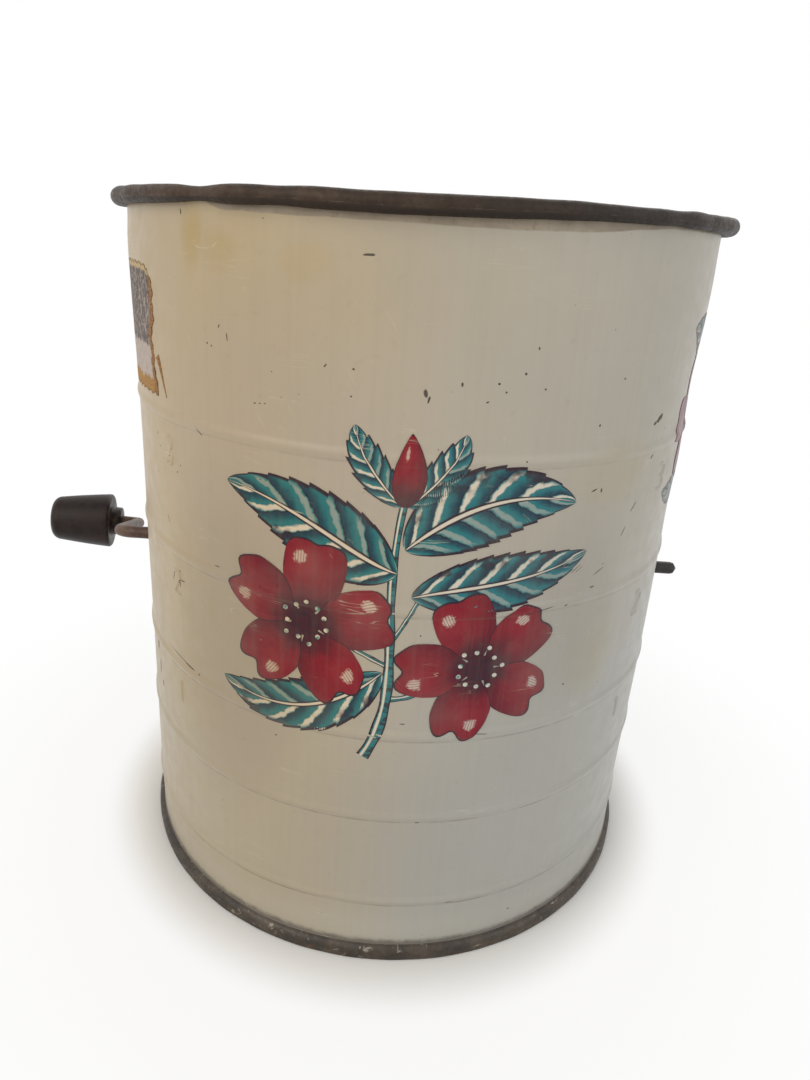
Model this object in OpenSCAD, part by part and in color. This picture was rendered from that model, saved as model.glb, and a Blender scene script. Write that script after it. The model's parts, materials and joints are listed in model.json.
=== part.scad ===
// Hand-cranked measuring flour sifter: an open tin can with a hemispherical
// wire screen, four bows that a bent-wire crank sweeps round in it, and a
// strap handle at the back.
// Millimetres. Origin: centre of the open foot. +Z up, crank towards -X,
// handle towards +Y, printed front towards -Y.

/* [Can] */
// Outside diameter of the wall
can_d = 111.2; // [96:0.2:126]
// Overall height, from foot to rolled top
can_h = 137.4; // [132:0.2:160]
// Thickness of the tin sheet
wall_t = 0.4; // [0.3:0.05:0.5]
// Diameter of the wire rolled into the top edge
rim_wire_d = 2.4; // [2:0.1:3]
// Height of the flattened hem at the foot
hem_h = 3; // [2.4:0.1:4]
// How far the hem stands out of the wall
hem_out = 1.2; // [0.8:0.1:1.5]
// Width of the lock seam down the back
seam_w = 6; // [4:0.5:9]

/* [Rings] */
// How far an embossed ring stands out of the wall
ring_out = 0.4; // [0.2:0.05:1]
// Width of an embossed ring
ring_w = 3; // [2:0.1:4]
// Height of the ring above the foot
foot_ring_z = 13.9; // [10:0.1:20]
// Height of the ring below the one-cup ring
belly_ring_z = 34.1; // [26:0.1:44]
// Height of the one-cup ring
one_cup_z = 51.6; // [49:0.1:53]
// Height of the two-cup ring
two_cup_z = 75.5; // [72:0.1:84]
// Height of the three-cup ring
three_cup_z = 100.4; // [92:0.1:101]

/* [Bearings] */
// Height of the crank's axis
shaft_z = 62.8; // [60:0.1:65]
// Running clearance round the shaft
shaft_clear = 0.08; // [0.02:0.01:0.1]
// Wall of the eyelet's barrel
eyelet_wall = 0.7; // [0.5:0.1:1]
// Diameter of the eyelet's flanges
eyelet_flange_d = 8; // [7:0.2:9]
// Thickness of the eyelet's flanges
eyelet_flange_t = 0.4; // [0.3:0.05:0.6]
// End play of the shaft at each side
end_play = 0.3; // [0.1:0.05:0.5]

/* [Screen] */
// Width of the ledge that carries the screen
ledge_w = 2.4; // [2:0.1:3]
// Thickness of the woven screen
screen_t = 0.7; // [0.5:0.1:1]
// Depth of the screen's edge below the crank's axis
screen_drop = 5.6; // [5.4:0.1:7]
// Number of openings across the screen's plain grid, which stands for its fine mesh
screen_cells = 10; // [6:1:12]
// Width of the bars between the openings
screen_bar = 2.2; // [1.2:0.1:4]
// Share of the bowl's radius that the openings fill
screen_open = 0.9; // [0.6:0.01:0.92]
// Height of the band that holds the screen's edge
band_h = 6; // [5:0.5:9]
// Thickness of the band
band_t = 0.5; // [0.4:0.05:0.8]

/* [Agitator] */
// Diameter of the bow wire
bow_d = 1.8; // [1.4:0.1:2.2]
// Gap between the bows and the screen
bow_gap = 0.8; // [0.5:0.1:2]
// Turn of the first bow from the crank's arm
bow_turn = 45; // [0:5:90]
// Diameter of the hubs
hub_d = 7; // [6:0.2:7.4]
// Metal left beside the bows in the hubs
hub_wall = 0.8; // [0.5:0.1:1.2]
// Gap between the bows' ends and the shaft, filled with solder
bow_seat = 0.5; // [0.2:0.1:0.8]

/* [Crank] */
// Diameter of the crank's wire
rod_d = 2.8; // [2.4:0.1:3]
// How far the plain end stands out of the wall
rod_end_out = 8.1; // [5:0.1:12]
// Distance from the wall to the corner of the crank's first bend
arm_out = 10.6; // [10:0.1:18]
// Length of the crank's arm, from corner to corner
arm_l = 38.2; // [32:0.1:50]
// How far the arm leans outwards
arm_lean = 11.2; // [0:0.1:12]
// Radius of the first bend, at the wire's centre
arm_bend_r = 6; // [4:0.2:7]
// Radius of the second bend, at the wire's centre
pin_bend_r = 4.7; // [3:0.1:5]
// Where the arm stands at rest, up from level
arm_rest = -18.3; // [-90:0.1:90]

/* [Knob] */
// Length of the knob's tapered body
knob_l = 15.4; // [12:0.1:24]
// Diameter of the body beside the crank's arm
knob_big_d = 14.6; // [13:0.1:18]
// Diameter of the body at its outer end
knob_small_d = 11.8; // [10.5:0.1:12.8]
// Radius that rounds the outer end
knob_round = 2.4; // [1:0.1:2.4]
// Length of the turned neck
neck_l = 2.5; // [1.5:0.1:4]
// Diameter of the neck
neck_d = 7.5; // [6:0.1:9]
// Running clearance in the knob's bore
knob_clear = 0.1; // [0.02:0.01:0.1]
// End play of the knob on its pin
knob_play = 0.3; // [0.1:0.05:0.5]
// Diameter of the washer that keeps the knob on
washer_d = 5.6; // [5:0.1:6]
// Thickness of the washer
washer_t = 0.5; // [0.4:0.05:0.8]
// Height of the pin's peened end
peen_h = 0.8; // [0.5:0.1:1.2]
// How far the peened end stands out round the pin
peen_out = 0.6; // [0.4:0.1:0.8]

/* [Handle] */
// Width of the handle's strap
strap_w = 21; // [16:0.5:26]
// Thickness of the strap
strap_t = 0.9; // [0.7:0.1:1.2]
// Thickness across the strap's rolled edges
strap_edge_t = 2.2; // [1.8:0.1:3]
// Width of a rolled edge
strap_edge_w = 2.4; // [2:0.1:3]
// Distance from the wall to the middle of the grip
grip_out = 34; // [30:0.5:42]
// Depth of the handle's upper arm below the can's top
arm_top_drop = 29.4; // [25:0.2:33]
// Height of the handle's lower arm
arm_low_z = 31; // [29:0.5:50]
// Radius of the grip's corners
grip_r = 13; // [8:0.5:16]
// Length of each foot on the wall
strap_foot_l = 15; // [12:0.5:18]
// Diameter of the rivets
rivet_d = 3.2; // [2.6:0.1:4]
// Diameter of the rivets' heads
rivet_head_d = 5.8; // [5:0.1:7]
// Height of the rivets' heads
rivet_head_h = 1.2; // [0.8:0.1:2]
// Thickness of the rivets' flat tails inside the can
rivet_tail_t = 0.8; // [0.5:0.1:1.2]
// Distance between the two rivets of a foot
rivet_pitch = 10; // [8:0.5:13]

/* [Label] */
// Direction of the torn label's middle, from the +X side
label_turn = 211; // [200:1:225]
// Angle that the label covers
label_span = 17; // [10:1:24]
// Gap between the three-cup ring and the label
label_gap = 0.8; // [0.2:0.1:3]
// Height of the label
label_h = 21.5; // [10:0.5:24]
// Thickness of the paper
label_t = 0.15; // [0.1:0.05:0.3]

/* [Hidden] */
$fn = 96;

over = 1;          // how far a cutter runs past what it cuts
weld = 0.2;        // how far the wire's straight runs reach into its bends
swell = 0.01;      // how much thicker the wire is in its bends, each side
tin = "darkgray";
paint = "tan";
can_r = can_d / 2;
bore_r = can_r - wall_t;
ring_heights = [foot_ring_z, belly_ring_z, one_cup_z, two_cup_z, three_cup_z];

// Rolled top: a curl of the wall round the wire
curl_clear = 0.1;
curl_in_r = rim_wire_d / 2 + curl_clear;
curl_out_r = curl_in_r + wall_t;
curl_r = bore_r + curl_out_r;
curl_z = can_h - curl_out_r;
curl_tail = 222;   // where the curl's tail ends, under the roll

// Screen and agitator are centred on the crank's axis
bowl_r = bore_r - ledge_w + screen_t;
mesh_r = bowl_r - screen_t;
bowl_edge_z = shaft_z - screen_drop;
bow_r = bowl_r - screen_t - bow_gap - bow_d / 2;
bow_start = asin((rod_d / 2 + bow_seat) / bow_r);

// Bearings and shaft
rod_r = rod_d / 2;
eyelet_bore_r = rod_r + shaft_clear;
eyelet_r = eyelet_bore_r + eyelet_wall;
hub_out_x = sqrt(pow(bore_r, 2) - pow(hub_d / 2, 2)) - eyelet_flange_t - end_play;
hub_in_x = bow_r - bow_d / 2 - hub_wall;

// Corners of the crank, in the plane of its arm
arm_x = -(can_r + arm_out);
pin_corner = [arm_x - arm_l * sin(arm_lean), arm_l * cos(arm_lean)];
arm_turn = 90 - arm_lean;
arm_tangent = arm_bend_r * tan(arm_turn / 2);
shaft_start = arm_x + arm_tangent;
shaft_end = can_r + rod_end_out - rod_r;

// Knob, along its pin from the second corner
knob_start = pin_bend_r + knob_play;
knob_end = knob_start + neck_l + knob_l;
knob_edge = 0.7;   // how far the knob's other edges are broken
recess_l = washer_t + peen_h + 2 * knob_play;
recess_d = washer_d + 2 * knob_play;
washer_start = knob_end - recess_l + knob_play;

// Handle
arm_top_z = can_h - arm_top_drop;
strap_foot_r = can_r + strap_t;
grip_y = can_r + grip_out;
rivet_turn = asin(rivet_pitch / 2 / can_r);
foot_top_z = arm_top_z - strap_edge_t / 2;
foot_low_z = arm_low_z + strap_edge_t / 2 - strap_foot_l;
rivet_top_z = foot_top_z + strap_foot_l / 2;
rivet_low_z = foot_low_z + strap_foot_l / 2;

// Label, just above the three-cup ring
label_z = three_cup_z + ring_w / 2 + label_gap;

// Points of an arc of the given radius about a centre
function arc(centre, r, from, to, steps) =
    [for (i = [0:steps])
        centre + r * [cos(from + (to - from) * i / steps), sin(from + (to - from) * i / steps)]];

// One side of an embossed ring, a smooth bulge of the wall's radius
function ring_side(r, z, up) =
    [for (i = [-4:4])
        let (t = up * i / 4)
        [r + ring_out * (1 + cos(180 * t)) / 2, z + ring_w / 2 * t]];

function ring_sides(r, heights, up) = [for (z = heights) each ring_side(r, z, up)];

function reversed(list) = [for (i = [len(list) - 1:-1:0]) list[i]];

// A tube round Z
module tube(outer_r, inner_r, low, high) {
    difference() {
        translate([0, 0, low])
            cylinder(r = outer_r, h = high - low);
        translate([0, 0, low - over])
            cylinder(r = inner_r, h = high - low + 2 * over);
    }
}

// Puts its children on the crank's axis, in the plane of its arm
module on_crank() {
    translate([0, 0, shaft_z])
        rotate([arm_rest, 0, 0])
            children();
}

// Puts its children on the knob's pin, with Z running outwards from the corner
module on_pin() {
    on_crank()
        translate([pin_corner.x, pin_corner.y, 0])
            rotate([0, 0, arm_lean])
                rotate([0, -90, 0])
                    children();
}

// Puts its children at a point of the wall, with Z running outwards
module on_wall(turn, z) {
    translate([0, 0, z])
        rotate([0, 0, turn])
            rotate([0, 90, 0])
                children();
}

module rivet_places(z) {
    for (turn = [90 - rivet_turn, 90 + rivet_turn])
        on_wall(turn, z)
            children();
}

// Wall with its rings, and the curl that closes on the top wire
module can_profile() {
    outer = ring_sides(can_r, ring_heights, 1);
    inner = ring_sides(bore_r, reversed(ring_heights), -1);
    polygon(concat(
        [[can_r, hem_h / 2]], outer, [[can_r, curl_z]],
        arc([curl_r, curl_z], curl_in_r, 180, curl_tail - 360, 20),
        arc([curl_r, curl_z], curl_out_r, curl_tail - 360, 180, 20),
        inner, [[bore_r, hem_h / 2]]));
}

// The can as a solid block, for cutting what lies on its wall
module can_block() {
    rotate_extrude()
        polygon(concat(
            [[0, 0], [can_r, 0]], ring_sides(can_r, ring_heights, 1), [[can_r, can_h], [0, can_h]]));
}

// Sheet folded out and flattened on itself
module hem_profile() {
    hem_round = hem_out / 2;
    polygon(concat(
        arc([bore_r + hem_round, hem_round], hem_round, 180, 270, 4),
        [[can_r + hem_out, 0]],
        arc([can_r + hem_out - hem_round, hem_h - hem_round], hem_round, 0, 90, 4),
        [[bore_r, hem_h]]));
}

module seam() {
    intersection() {
        tube(can_r + wall_t, can_r - wall_t / 2, hem_h / 2, curl_z - curl_out_r - wall_t);
        translate([-seam_w / 2, 0, 0])
            cube([seam_w, can_d, can_h]);
    }
}

module body_shell() {
    color(paint)
    difference() {
        union() {
            rotate_extrude()
                can_profile();
            rotate_extrude()
                hem_profile();
            seam();
        }
        on_wall(0, shaft_z)
            cylinder(r = eyelet_r, h = can_d);
        on_wall(180, shaft_z)
            cylinder(r = eyelet_r, h = can_d);
        rivet_places(rivet_top_z)
            cylinder(d = rivet_d, h = can_d);
        rivet_places(rivet_low_z)
            cylinder(d = rivet_d, h = can_d);
    }
}

module top_rim_wire() {
    color(tin)
    translate([0, 0, curl_z])
        rotate_extrude()
            translate([curl_r, 0])
                circle(d = rim_wire_d, $fn = 32);
}

// Square openings in rows along X and Y, wherever the bowl isn't too steep for them
module screen_openings() {
    pitch = 2 * mesh_r / screen_cells;
    cell = pitch - screen_bar;
    places = [for (i = [0:screen_cells - 1]) (i - (screen_cells - 1) / 2) * pitch];
    for (x = places, y = places)
        if (norm([abs(x) + cell / 2, abs(y) + cell / 2]) < mesh_r * screen_open)
            translate([x - cell / 2, y - cell / 2, 0])
                cube([cell, cell, shaft_z]);
}

// Hemispherical screen; its edge turns out flat onto the ledge
module screen_bowl() {
    edge_r = sqrt(pow(bowl_r, 2) - pow(screen_drop, 2));
    color("silver")
    difference() {
        union() {
            intersection() {
                translate([0, 0, shaft_z])
                    sphere(r = bowl_r);
                cylinder(r = can_r, h = bowl_edge_z);
            }
            tube(bore_r - band_t, edge_r - screen_t, bowl_edge_z - screen_t, bowl_edge_z);
        }
        translate([0, 0, shaft_z])
            sphere(r = mesh_r);
        screen_openings();
    }
}

// Band soldered in the bore, with a lip over the screen's edge
module screen_band() {
    lip_r = bowl_r - screen_t + band_t / 2;
    color(tin)
    union() {
        tube(bore_r, bore_r - band_t, bowl_edge_z - band_h, bowl_edge_z);
        tube(bore_r, lip_r, bowl_edge_z, bowl_edge_z + band_t);
    }
}

// Barrel through the wall, with a flange that follows it on each side
module bearing_eyelet(turn) {
    color(tin)
    difference() {
        union() {
            on_wall(turn, shaft_z)
                translate([0, 0, bore_r - eyelet_flange_t])
                    cylinder(r = eyelet_r, h = wall_t + 2 * eyelet_flange_t);
            intersection() {
                on_wall(turn, shaft_z)
                    cylinder(d = eyelet_flange_d, h = can_d);
                union() {
                    tube(can_r + eyelet_flange_t, can_r, 0, can_h);
                    tube(bore_r, bore_r - eyelet_flange_t, 0, can_h);
                }
            }
        }
        on_wall(turn, shaft_z)
            cylinder(r = eyelet_bore_r, h = can_d);
    }
}

// A quarter bend of the strap's side view
module strap_corner(y, z, turn, thick) {
    translate([y, z])
        rotate(turn)
            intersection() {
                difference() {
                    circle(r = grip_r + thick / 2);
                    circle(r = grip_r - thick / 2);
                }
                square(grip_r + thick);
            }
}

// Side view of the handle: two arms, two corners and the grip
module strap_side(thick) {
    corner_y = grip_y - grip_r;
    for (z = [arm_low_z, arm_top_z])
        translate([0, z - thick / 2])
            square([corner_y, thick]);
    translate([grip_y - thick / 2, arm_low_z + grip_r])
        square([thick, arm_top_z - arm_low_z - 2 * grip_r]);
    strap_corner(corner_y, arm_top_z - grip_r, 0, thick);
    strap_corner(corner_y, arm_low_z + grip_r, -90, thick);
}

// The side view, as wide as given, centred at x
module strap_run(x, width, thick) {
    translate([x - width / 2, 0, 0])
        rotate([90, 0, 90])
            linear_extrude(width)
                strap_side(thick);
}

module strap_foot(low) {
    intersection() {
        tube(strap_foot_r, can_r, low, low + strap_foot_l);
        translate([-strap_w / 2, 0, 0])
            cube([strap_w, can_d, can_h]);
    }
}

module handle_strap() {
    edge_x = (strap_w - strap_edge_w) / 2;
    color(paint)
    difference() {
        union() {
            strap_run(0, strap_w, strap_t);
            for (x = [-edge_x, edge_x])
                strap_run(x, strap_edge_w, strap_edge_t);
            strap_foot(foot_top_z);
            strap_foot(foot_low_z);
        }
        can_block();
        seam();
        rivet_places(rivet_top_z)
            cylinder(d = rivet_d, h = can_d);
        rivet_places(rivet_low_z)
            cylinder(d = rivet_d, h = can_d);
    }
}

// Domed head outside, shank through strap and wall, flat tail inside
module handle_rivets(z) {
    head_r = rivet_head_d / 2;
    dome_r = (pow(head_r, 2) + pow(rivet_head_h, 2)) / (2 * rivet_head_h);
    tail_out = sqrt(pow(bore_r, 2) - pow(head_r, 2));
    color(tin)
    rivet_places(z)
        union() {
            translate([0, 0, tail_out - rivet_tail_t])
                cylinder(r = head_r, h = rivet_tail_t);
            translate([0, 0, tail_out - rivet_tail_t / 2])
                cylinder(d = rivet_d, h = strap_foot_r - tail_out + rivet_tail_t);
            intersection() {
                translate([0, 0, strap_foot_r + rivet_head_h - dome_r])
                    sphere(r = dome_r);
                translate([0, 0, strap_foot_r])
                    cylinder(r = rivet_head_d, h = rivet_head_d);
            }
        }
}

// Remnant of a gummed paper label
module paper_label() {
    color("wheat")
    rotate([0, 0, label_turn - label_span / 2])
        translate([0, 0, label_z])
            rotate_extrude(angle = label_span)
                translate([can_r, 0])
                    square([label_t, label_h]);
}

// Bend of the crank's wire in the XY plane, about the given centre
module rod_bend(centre, r, from, angle) {
    translate([centre.x, centre.y, 0])
        rotate([0, 0, from])
            rotate_extrude(angle = angle)
                translate([r, 0])
                    circle(r = rod_r + swell, $fn = 32);
}

// One wire: plain end, shaft, arm, pin and peened end
module crank_rod() {
    color("dimgray")
    union() {
        on_crank() {
            translate([shaft_start - weld, 0, 0])
                rotate([0, 90, 0])
                    cylinder(r = rod_r, h = shaft_end - shaft_start + weld);
            translate([shaft_end, 0, 0])
                sphere(r = rod_r);
            rod_bend([shaft_start, arm_bend_r], arm_bend_r, 180 + arm_lean, arm_turn);
            translate([arm_x, 0, 0])
                rotate([-90, 0, arm_lean])
                    translate([0, 0, arm_tangent - weld])
                        cylinder(r = rod_r, h = arm_l - arm_tangent - pin_bend_r + 2 * weld);
        }
        on_pin() {
            translate([0, -pin_bend_r, pin_bend_r])
                rotate([0, 90, 0])
                    rod_bend([0, 0], pin_bend_r, 0, 90);
            translate([0, 0, pin_bend_r - weld])
                cylinder(r = rod_r, h = washer_start + washer_t + weld - pin_bend_r);
            translate([0, 0, washer_start + washer_t])
                cylinder(r1 = rod_r + peen_out, r2 = rod_r, h = peen_h);
        }
    }
}

// Collar on the shaft, drilled for the bows' ends
module agitator_hub(side) {
    color(tin)
    difference() {
        on_crank()
            translate([side > 0 ? hub_in_x : -hub_out_x, 0, 0])
                rotate([0, 90, 0])
                    difference() {
                        cylinder(d = hub_d, h = hub_out_x - hub_in_x);
                        translate([0, 0, -over])
                            cylinder(r = rod_r, h = hub_out_x + over);
                    }
        for (i = [0:3])
            bow(i);
    }
}

// Half hoop of wire from hub to hub
module bow(i) {
    on_crank()
        rotate([bow_turn + 90 * i, 0, 0])
            rotate([0, 0, bow_start])
                rotate_extrude(angle = 180 - 2 * bow_start)
                    translate([bow_r, 0])
                        circle(d = bow_d, $fn = 32);
}

module agitator_bow(i) {
    color("silver")
        bow(i);
}

module knob_washer() {
    color(tin)
    on_pin()
        tube(washer_d / 2, rod_r, washer_start, washer_start + washer_t);
}

// Turned knob: neck, tapered body and rounded end, with a recess for the washer
module knob() {
    body_start = knob_start + neck_l;
    end_x = knob_small_d / 2 - knob_round;
    color([0.2, 0.17, 0.16])
    on_pin()
        difference() {
            rotate_extrude()
                polygon(concat(
                    [[0, knob_start], [neck_d / 2 - knob_edge / 2, knob_start],
                     [neck_d / 2, knob_start + knob_edge / 2], [neck_d / 2, body_start],
                     [knob_big_d / 2 - knob_edge, body_start],
                     [knob_big_d / 2, body_start + knob_edge]],
                    arc([end_x, knob_end - knob_round], knob_round, 0, 90, 8),
                    [[0, knob_end]]));
            translate([0, 0, knob_start - over])
                cylinder(r = rod_r + knob_clear, h = knob_end);
            translate([0, 0, knob_end - recess_l])
                cylinder(d = recess_d, h = recess_l + over);
        }
}

body_shell();
top_rim_wire();
screen_bowl();
screen_band();
bearing_eyelet(180);  // left_bearing_eyelet
bearing_eyelet(0);  // right_bearing_eyelet
handle_strap();
handle_rivets(rivet_top_z);  // handle_rivets_upper
handle_rivets(rivet_low_z);  // handle_rivets_lower
paper_label();
crank_rod();
agitator_hub(-1);  // agitator_hub_left
agitator_hub(1);  // agitator_hub_right
agitator_bow(0);  // agitator_bow_1
agitator_bow(1);  // agitator_bow_2
agitator_bow(2);  // agitator_bow_3
agitator_bow(3);  // agitator_bow_4
knob_washer();
knob();
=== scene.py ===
import json

import bpy
import numpy as np
from mathutils import Matrix, Vector


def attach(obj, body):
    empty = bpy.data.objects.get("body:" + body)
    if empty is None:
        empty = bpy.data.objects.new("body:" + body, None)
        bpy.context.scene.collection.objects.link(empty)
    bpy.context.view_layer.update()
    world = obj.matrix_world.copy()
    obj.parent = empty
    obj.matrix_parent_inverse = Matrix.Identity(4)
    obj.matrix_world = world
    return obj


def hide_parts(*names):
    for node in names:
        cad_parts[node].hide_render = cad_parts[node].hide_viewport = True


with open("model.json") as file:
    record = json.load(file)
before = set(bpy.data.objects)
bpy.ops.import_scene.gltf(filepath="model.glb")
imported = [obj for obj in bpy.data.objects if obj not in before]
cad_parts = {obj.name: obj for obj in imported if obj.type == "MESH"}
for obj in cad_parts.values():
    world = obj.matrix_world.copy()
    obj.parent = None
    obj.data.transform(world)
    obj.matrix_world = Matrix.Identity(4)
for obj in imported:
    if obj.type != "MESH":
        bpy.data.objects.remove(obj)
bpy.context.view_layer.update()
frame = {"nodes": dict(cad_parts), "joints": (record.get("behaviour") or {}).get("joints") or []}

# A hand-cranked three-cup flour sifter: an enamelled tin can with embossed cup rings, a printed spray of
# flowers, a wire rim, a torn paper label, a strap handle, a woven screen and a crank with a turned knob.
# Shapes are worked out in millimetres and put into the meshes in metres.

MM = 0.001

# ---------------- sizes, in millimetres
CAN_R = 55.6
WALL_T = 0.4
CAN_H = 137.4
HEM_H = 3
HEM_OUT = 1.2
RING_OUT = 0.3
RING_W = 2.6
RING_HEIGHTS = (13.9, 34.1, 51.6, 75.5, 100.4)
SEAM_HALF = 3
CURL_OUT = 1.7
CURL_Z = CAN_H - CURL_OUT - 0.02
CURL_TAIL = 222
SHAFT_Z = 62.8
SHAFT = np.array([0, 0, SHAFT_Z])
X_AXIS = np.array([1, 0, 0])
ROD_R = 1.4
NUB_OUT = 8.09
ARM_OUT = 10.6
ARM_REST = -18.3
ARM_BEND_R = 6
PIN_BEND_R = 4.7
PIN_L = 22.7
KNOB_START = 5
KNOB_BODY = 7.5
KNOB_END = 22.9
KNOB_R = 7.3
KNOB_END_R = 5.9
KNOB_EDGE_R = 0.8
KNOB_TIP_R = 2.4
SCREEN_R = 53.15
SCREEN_EDGE_Z = 57.2
SCREEN_PITCH = 1.6
SCREEN_WIRE_R = 0.17
BOW_R = 51.1
BOW_WIRE_R = 0.9
STRAP_W = 21
STRAP_T = 0.9
STRAP_EDGE_W = 2.4
STRAP_EDGE_T = 2.2
GRIP_Y = 89.6
GRIP_R = 13
ARM_TOP_Z = 108
ARM_LOW_Z = 31
FOOT_TOP = 121.9
FOOT_LOW = 17.1
LABEL_TURN = (-67.5, -50.5)
LABEL_Z = (102.7, 124.2)

JOINTS = {j["name"]: j for j in frame["joints"]}
PIN_CORNER = np.array(JOINTS["knob_spin"]["pos_m"]) / MM
PIN_AXIS = np.array(JOINTS["knob_spin"]["axis"], float)
PIN_AXIS /= np.linalg.norm(PIN_AXIS)


# ---------------- mesh helpers
def ease(t):
    """Smooth step: 3t^2 - 2t^3 with t held between 0 and 1."""
    t = np.clip(t, 0, 1)
    return t * t * (3 - 2 * t)


def unit(v):
    """The vectors of v, each divided by its length."""
    return v / np.linalg.norm(v, axis=-1, keepdims=True)


def ring_faces(rings, points, looped):
    """Quads that join ring i to ring i + 1, each ring being a closed loop of points."""
    i = np.arange(rings if looped else rings - 1)[:, None] * points
    k = (i + points) % (rings * points)
    j = np.arange(points)[None, :]
    n = (j + 1) % points
    return np.stack([i + j, k + j, k + n, i + n], axis=-1).reshape(-1, 4)


def signed_volume(points, quads):
    """Six times the volume inside the quads: the sum of a . (b x c) over their triangles."""
    a, b, c, d = (points[quads[:, k]] for k in range(4))
    return np.sum(a * np.cross(b, c)) + np.sum(a * np.cross(c, d))


def end_caps(rings, points):
    """Quads that close the first and the last ring, each like the rungs of a ladder: point j with the point
    as far from the ring's end as j is from its start."""
    j = np.arange(points // 2 - 1)
    rungs = np.stack([j, j + 1, points - 2 - j, points - 1 - j], axis=-1)
    return np.concatenate([rungs, rungs[:, ::-1] + (rings - 1) * points])


def solid(name, stacks, materials, body, smooth_angle=40, looped=False):
    """One object out of closed stacks of rings.

    A stack is (rings, uv, material): rings has the shape (n, m, 3) in millimetres with an even m. Looped
    says that the last ring meets the first, and otherwise both ends get a cap. Faces are turned outwards
    by the sign of the stack's volume.
    """
    points, faces, slots, uvs = [], [], [], []
    start = 0
    for rings, uv, material in stacks:
        n, m = rings.shape[:2]
        flat = rings.reshape(-1, 3)
        quads = ring_faces(n, m, looped)
        caps = np.zeros((0, 4), int) if looped else end_caps(n, m)
        slots.append(_per_face(material, quads, len(caps)))
        quads = np.concatenate([quads, caps])
        if signed_volume(flat - flat.mean(0), quads) < 0:
            quads = quads[:, ::-1]
        faces += (quads + start).tolist()
        uvs.append(np.zeros((n * m, 2)) if uv is None else uv.reshape(-1, 2))
        points.append(flat)
        start += n * m
    points = np.concatenate(points)
    mesh = bpy.data.meshes.new(name)
    mesh.from_pydata((points * MM).tolist(), [], faces)
    layer = mesh.uv_layers.new(name="UVMap")
    corner = np.zeros(len(mesh.loops), np.int32)
    mesh.loops.foreach_get("vertex_index", corner)
    layer.data.foreach_set("uv", np.concatenate(uvs)[corner].astype(np.float32).ravel())
    mesh.polygons.foreach_set("material_index", np.concatenate(slots).astype(np.int32))
    mesh.polygons.foreach_set("use_smooth", np.ones(len(mesh.polygons), bool))
    mesh.set_sharp_from_angle(angle=np.radians(smooth_angle))
    for material in materials:
        mesh.materials.append(material)
    mesh.validate()
    mesh.update()
    piece = bpy.data.objects.new(name, mesh)
    bpy.context.scene.collection.objects.link(piece)
    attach(piece, body)
    return piece


def _per_face(material, quads, caps):
    """The material of each face: one number, or one for each ring's step with 0 for the caps."""
    if np.isscalar(material):
        return np.full(len(quads) + caps, material)
    return np.concatenate([np.asarray(material), np.zeros(caps, int)])


def gone_along(path):
    """The length of a path up to each of its points."""
    return np.concatenate([[0], np.cumsum(np.linalg.norm(np.diff(path, axis=0), axis=1))])


def tube(path, across, radius, sides):
    """Rings round a path: path + radius (cos a side + sin a (tangent x side)), side being across made
    square to the path."""
    tangent = unit(np.gradient(path, axis=0))
    side = unit(across - np.sum(across * tangent, axis=-1, keepdims=True) * tangent)
    lift = np.cross(tangent, side)
    a = 2 * np.pi * (np.arange(sides) + 0.5) / sides
    radius = np.broadcast_to(radius, (len(path),))[:, None, None]
    return path[:, None, :] + radius * (
        np.cos(a)[None, :, None] * side[:, None, :] + np.sin(a)[None, :, None] * lift[:, None, :])


def turned(profile, origin, axis, sides):
    """Rings of a turned shape: profile rows are (radius, place along the axis)."""
    helper = np.array([0, 0, 1]) if abs(axis[2]) < 0.9 else np.array([1, 0, 0])
    side = unit(np.cross(axis, helper))
    lift = np.cross(axis, side)
    a = 2 * np.pi * np.arange(sides) / sides
    spoke = np.cos(a)[:, None] * side + np.sin(a)[:, None] * lift
    profile = np.asarray(profile, float)
    return origin + profile[:, 1, None, None] * axis + profile[:, 0, None, None] * spoke[None]


def bent_path(corners, radii, step=0.5):
    """Points along straight runs joined by round bends: at each inner corner an arc of the given radius
    starts and ends radius * tan(half the turn) away from the corner."""
    corners = np.asarray(corners, float)
    runs, here = [], corners[0]
    for k, radius in enumerate(radii, start=1):
        into, out = unit(corners[k] - corners[k - 1]), unit(corners[k + 1] - corners[k])
        turn = np.arccos(np.clip(into @ out, -1, 1))
        cut = radius * np.tan(turn / 2)
        a, b = corners[k] - into * cut, corners[k] + out * cut
        centre = corners[k] + unit(out - into) * radius / np.cos(turn / 2)
        count = max(2, int(np.linalg.norm(a - here) / step))
        runs.append(here + np.linspace(0, 1, count, endpoint=False)[:, None] * (a - here))
        t = np.linspace(0, turn, max(6, int(radius * turn / (step * 0.6))), endpoint=False)[:, None]
        runs.append(centre + (a - centre) * np.cos(t) + into * radius * np.sin(t))
        here = b
    count = max(2, int(np.linalg.norm(corners[-1] - here) / step))
    runs.append(here + np.linspace(0, 1, count)[:, None] * (corners[-1] - here))
    return np.concatenate(runs)


# ---------------- the can's wall as a function
def ring_bulge(z):
    """Embossed rings: ring_out/2 (1 + cos(pi t)) for |t| < 1, t being the height from the ring's middle
    over half its width."""
    t = (np.asarray(z)[..., None] - np.array(RING_HEIGHTS)) / (RING_W / 2)
    return np.sum(np.where(np.abs(t) < 1, RING_OUT / 2 * (1 + np.cos(np.pi * np.clip(t, -1, 1))), 0), axis=-1)


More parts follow.
